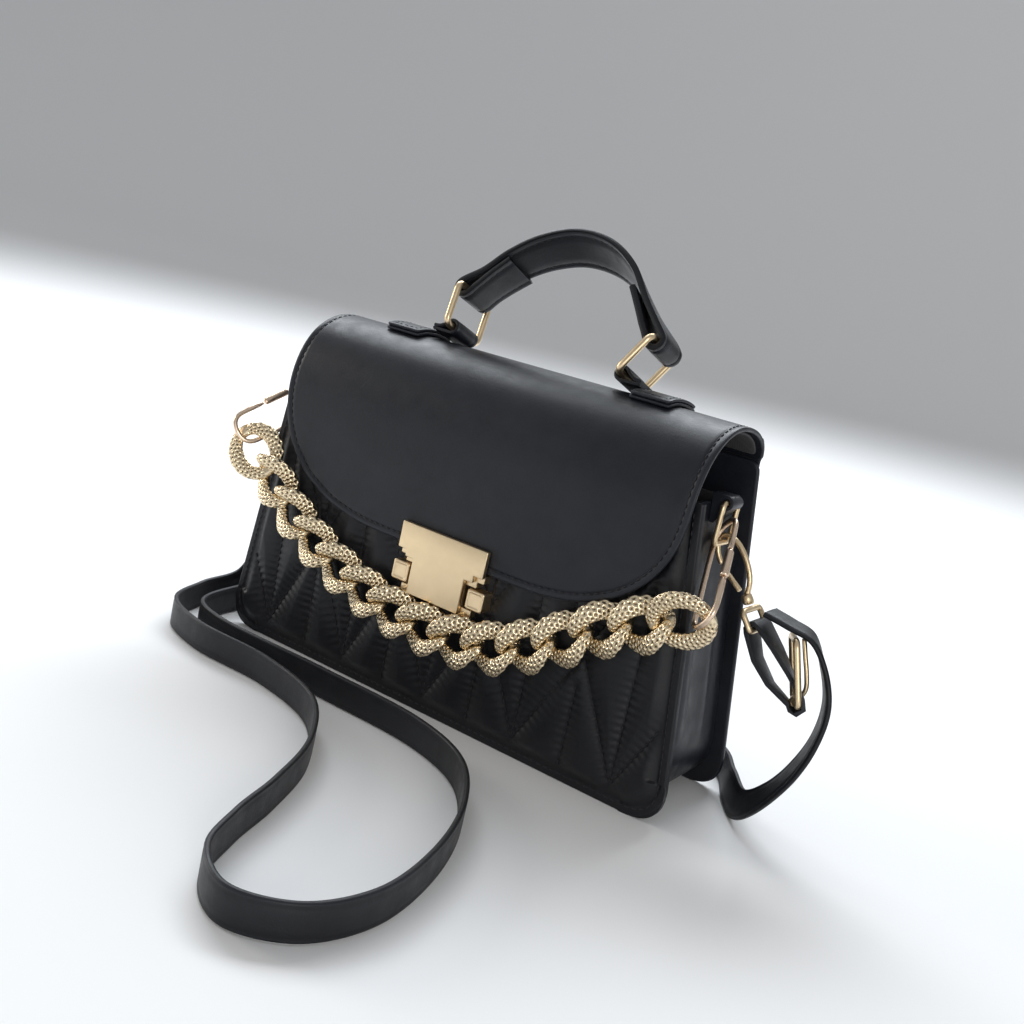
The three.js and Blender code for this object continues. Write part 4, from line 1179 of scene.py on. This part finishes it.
def curb_link(centre, run, length, width, turn, side_wide, end_wide, thick):
    """A curb link covered with rows of small pits, apart from the smooth inner side of its two ends.

    `turn(c)` is how far the link's plane is turned about its run at a share c of its half length.
    """
    side = unit(np.cross(FRONT, run))
    out = unit(np.cross(run, side))
    around, across = 210, 54
    t = 2 * math.pi * np.arange(around) / around

    def at(t):
        angle = turn(np.cos(t))
        lateral = width / 2 * np.sin(t)
        return (
            centre
            + np.outer(length / 2 * np.cos(t), run)
            + np.outer(lateral * np.cos(angle), side)
            + np.outer(lateral * np.sin(angle), out)
        )

    line = at(t)
    forward = unit(at(t + 0.02) - at(t - 0.02))
    outward = square_to(line - centre, forward)
    sideways = np.cross(forward, outward)
    p = 2 * math.pi * np.arange(across) / across
    half_w = (end_wide + (side_wide - end_wide) * np.sin(t) ** 2)[:, None] * 0.93
    half_t = thick * 0.86
    x = half_w * np.cos(p)[None]
    y = half_t * np.sin(p)[None] * np.ones_like(half_w)
    nx = np.cos(p)[None] / half_w
    ny = np.sin(p)[None] / half_t * np.ones_like(half_w)
    norm = np.sqrt(nx**2 + ny**2)
    place = lengths(np.vstack([line, line[:1]]))
    girth = np.cumsum(np.hypot(3 * np.sin(p), half_t * np.cos(p)))
    pit, nearest = pitted(place[:-1] / place[-1], place[-1], girth / girth[-1])
    covered = np.clip((np.abs(np.sin(t)) - 0.12) / 0.2, 0, 1)[:, None]
    covered = covered * np.clip((np.cos(p)[None] + 1.05) / 0.35, 0, 1)
    lift = 0.3 - 0.62 * pit * covered
    # Painted shade: how strongly the gold inside each pit is darkened.
    painted_pit_shade = covered * np.clip((PIT_RADIUS - 0.08 - nearest) / 0.12, 0, 1)
    x, y = x + nx / norm * lift, y + ny / norm * lift
    verts = line[:, None] + outward[:, None] * x[..., None] + sideways[:, None] * y[..., None]
    return verts.reshape(-1, 3), grid_faces(around, across, True, True), painted_pit_shade.ravel()


def chain_piece(node, shape):
    verts, faces, painted_pit_shade = shape
    piece = build(f"{node}_beaded", verts, faces, CHAIN_GOLD, "chain", [node])
    clean(piece)
    # Stores the painted pit shade on the link for its material.
    piece.data.attributes.new(PAINTED_PIT_SHADE, "FLOAT", "POINT").data.foreach_set("value", painted_pit_shade.astype(np.float32))


def link_turn(c):
    return LINK_TWIST * c


def chain():
    route = spline(np.array(CHAIN_ROUTE, float), 1800)
    place = lengths(route)
    tangents = along(route)
    for k in range(LINKS):
        at = place[-1] * k / (LINKS - 1)
        centre, run = at_length(at, place, route), unit(at_length(at, place, tangents))
        chain_piece(f"chain_link_{k + 1:02d}", curb_link(centre, run, 21, 13.8, link_turn, 3.6, 2.0, 1.85))
    for name, side in SIDES:
        end = 0 if side < 0 else -1
        centre = route[end] + tangents[end] * side * 14.9

        def turn(c, lean=side * END_LINK_LEAN):
            return lean * np.ones_like(c)

        chain_piece(f"chain_end_{name}", curb_link(centre, tangents[end], 20, 17, turn, 3.3, 2.4, 1.75))


# ---- inside and small leather
def insides():
    for name, width in (("front_board", 0.2), ("back_board", 0.2), ("base_board", 0.3)):
        beveled_copy(f"{name}_fibre", name, BOARD, "bag", width)
    for name, width in (("lining", 0.2), ("slip_pocket", 0.3)):
        beveled_copy(f"{name}_fabric", name, LINING, "bag", width)


def small_leather():
    for name, _ in SIDES:
        tab = f"side_tab_{name}"
        beveled_copy(f"{tab}_leather", tab, LEATHER, "bag", 0.3, 30)
    beveled_copy("buckle_strap_leather", "buckle_strap", STRAP_LEATHER, "bag", 0.35, 40)


set_camera()
set_stage()
rings()
small_leather()
strap()
front_panel()
back_panel()
gusset()
flap()
flap_seam()
lock()
hooks()
handle_band()
handle_loops()
handle_tabs()
chain()
insides()
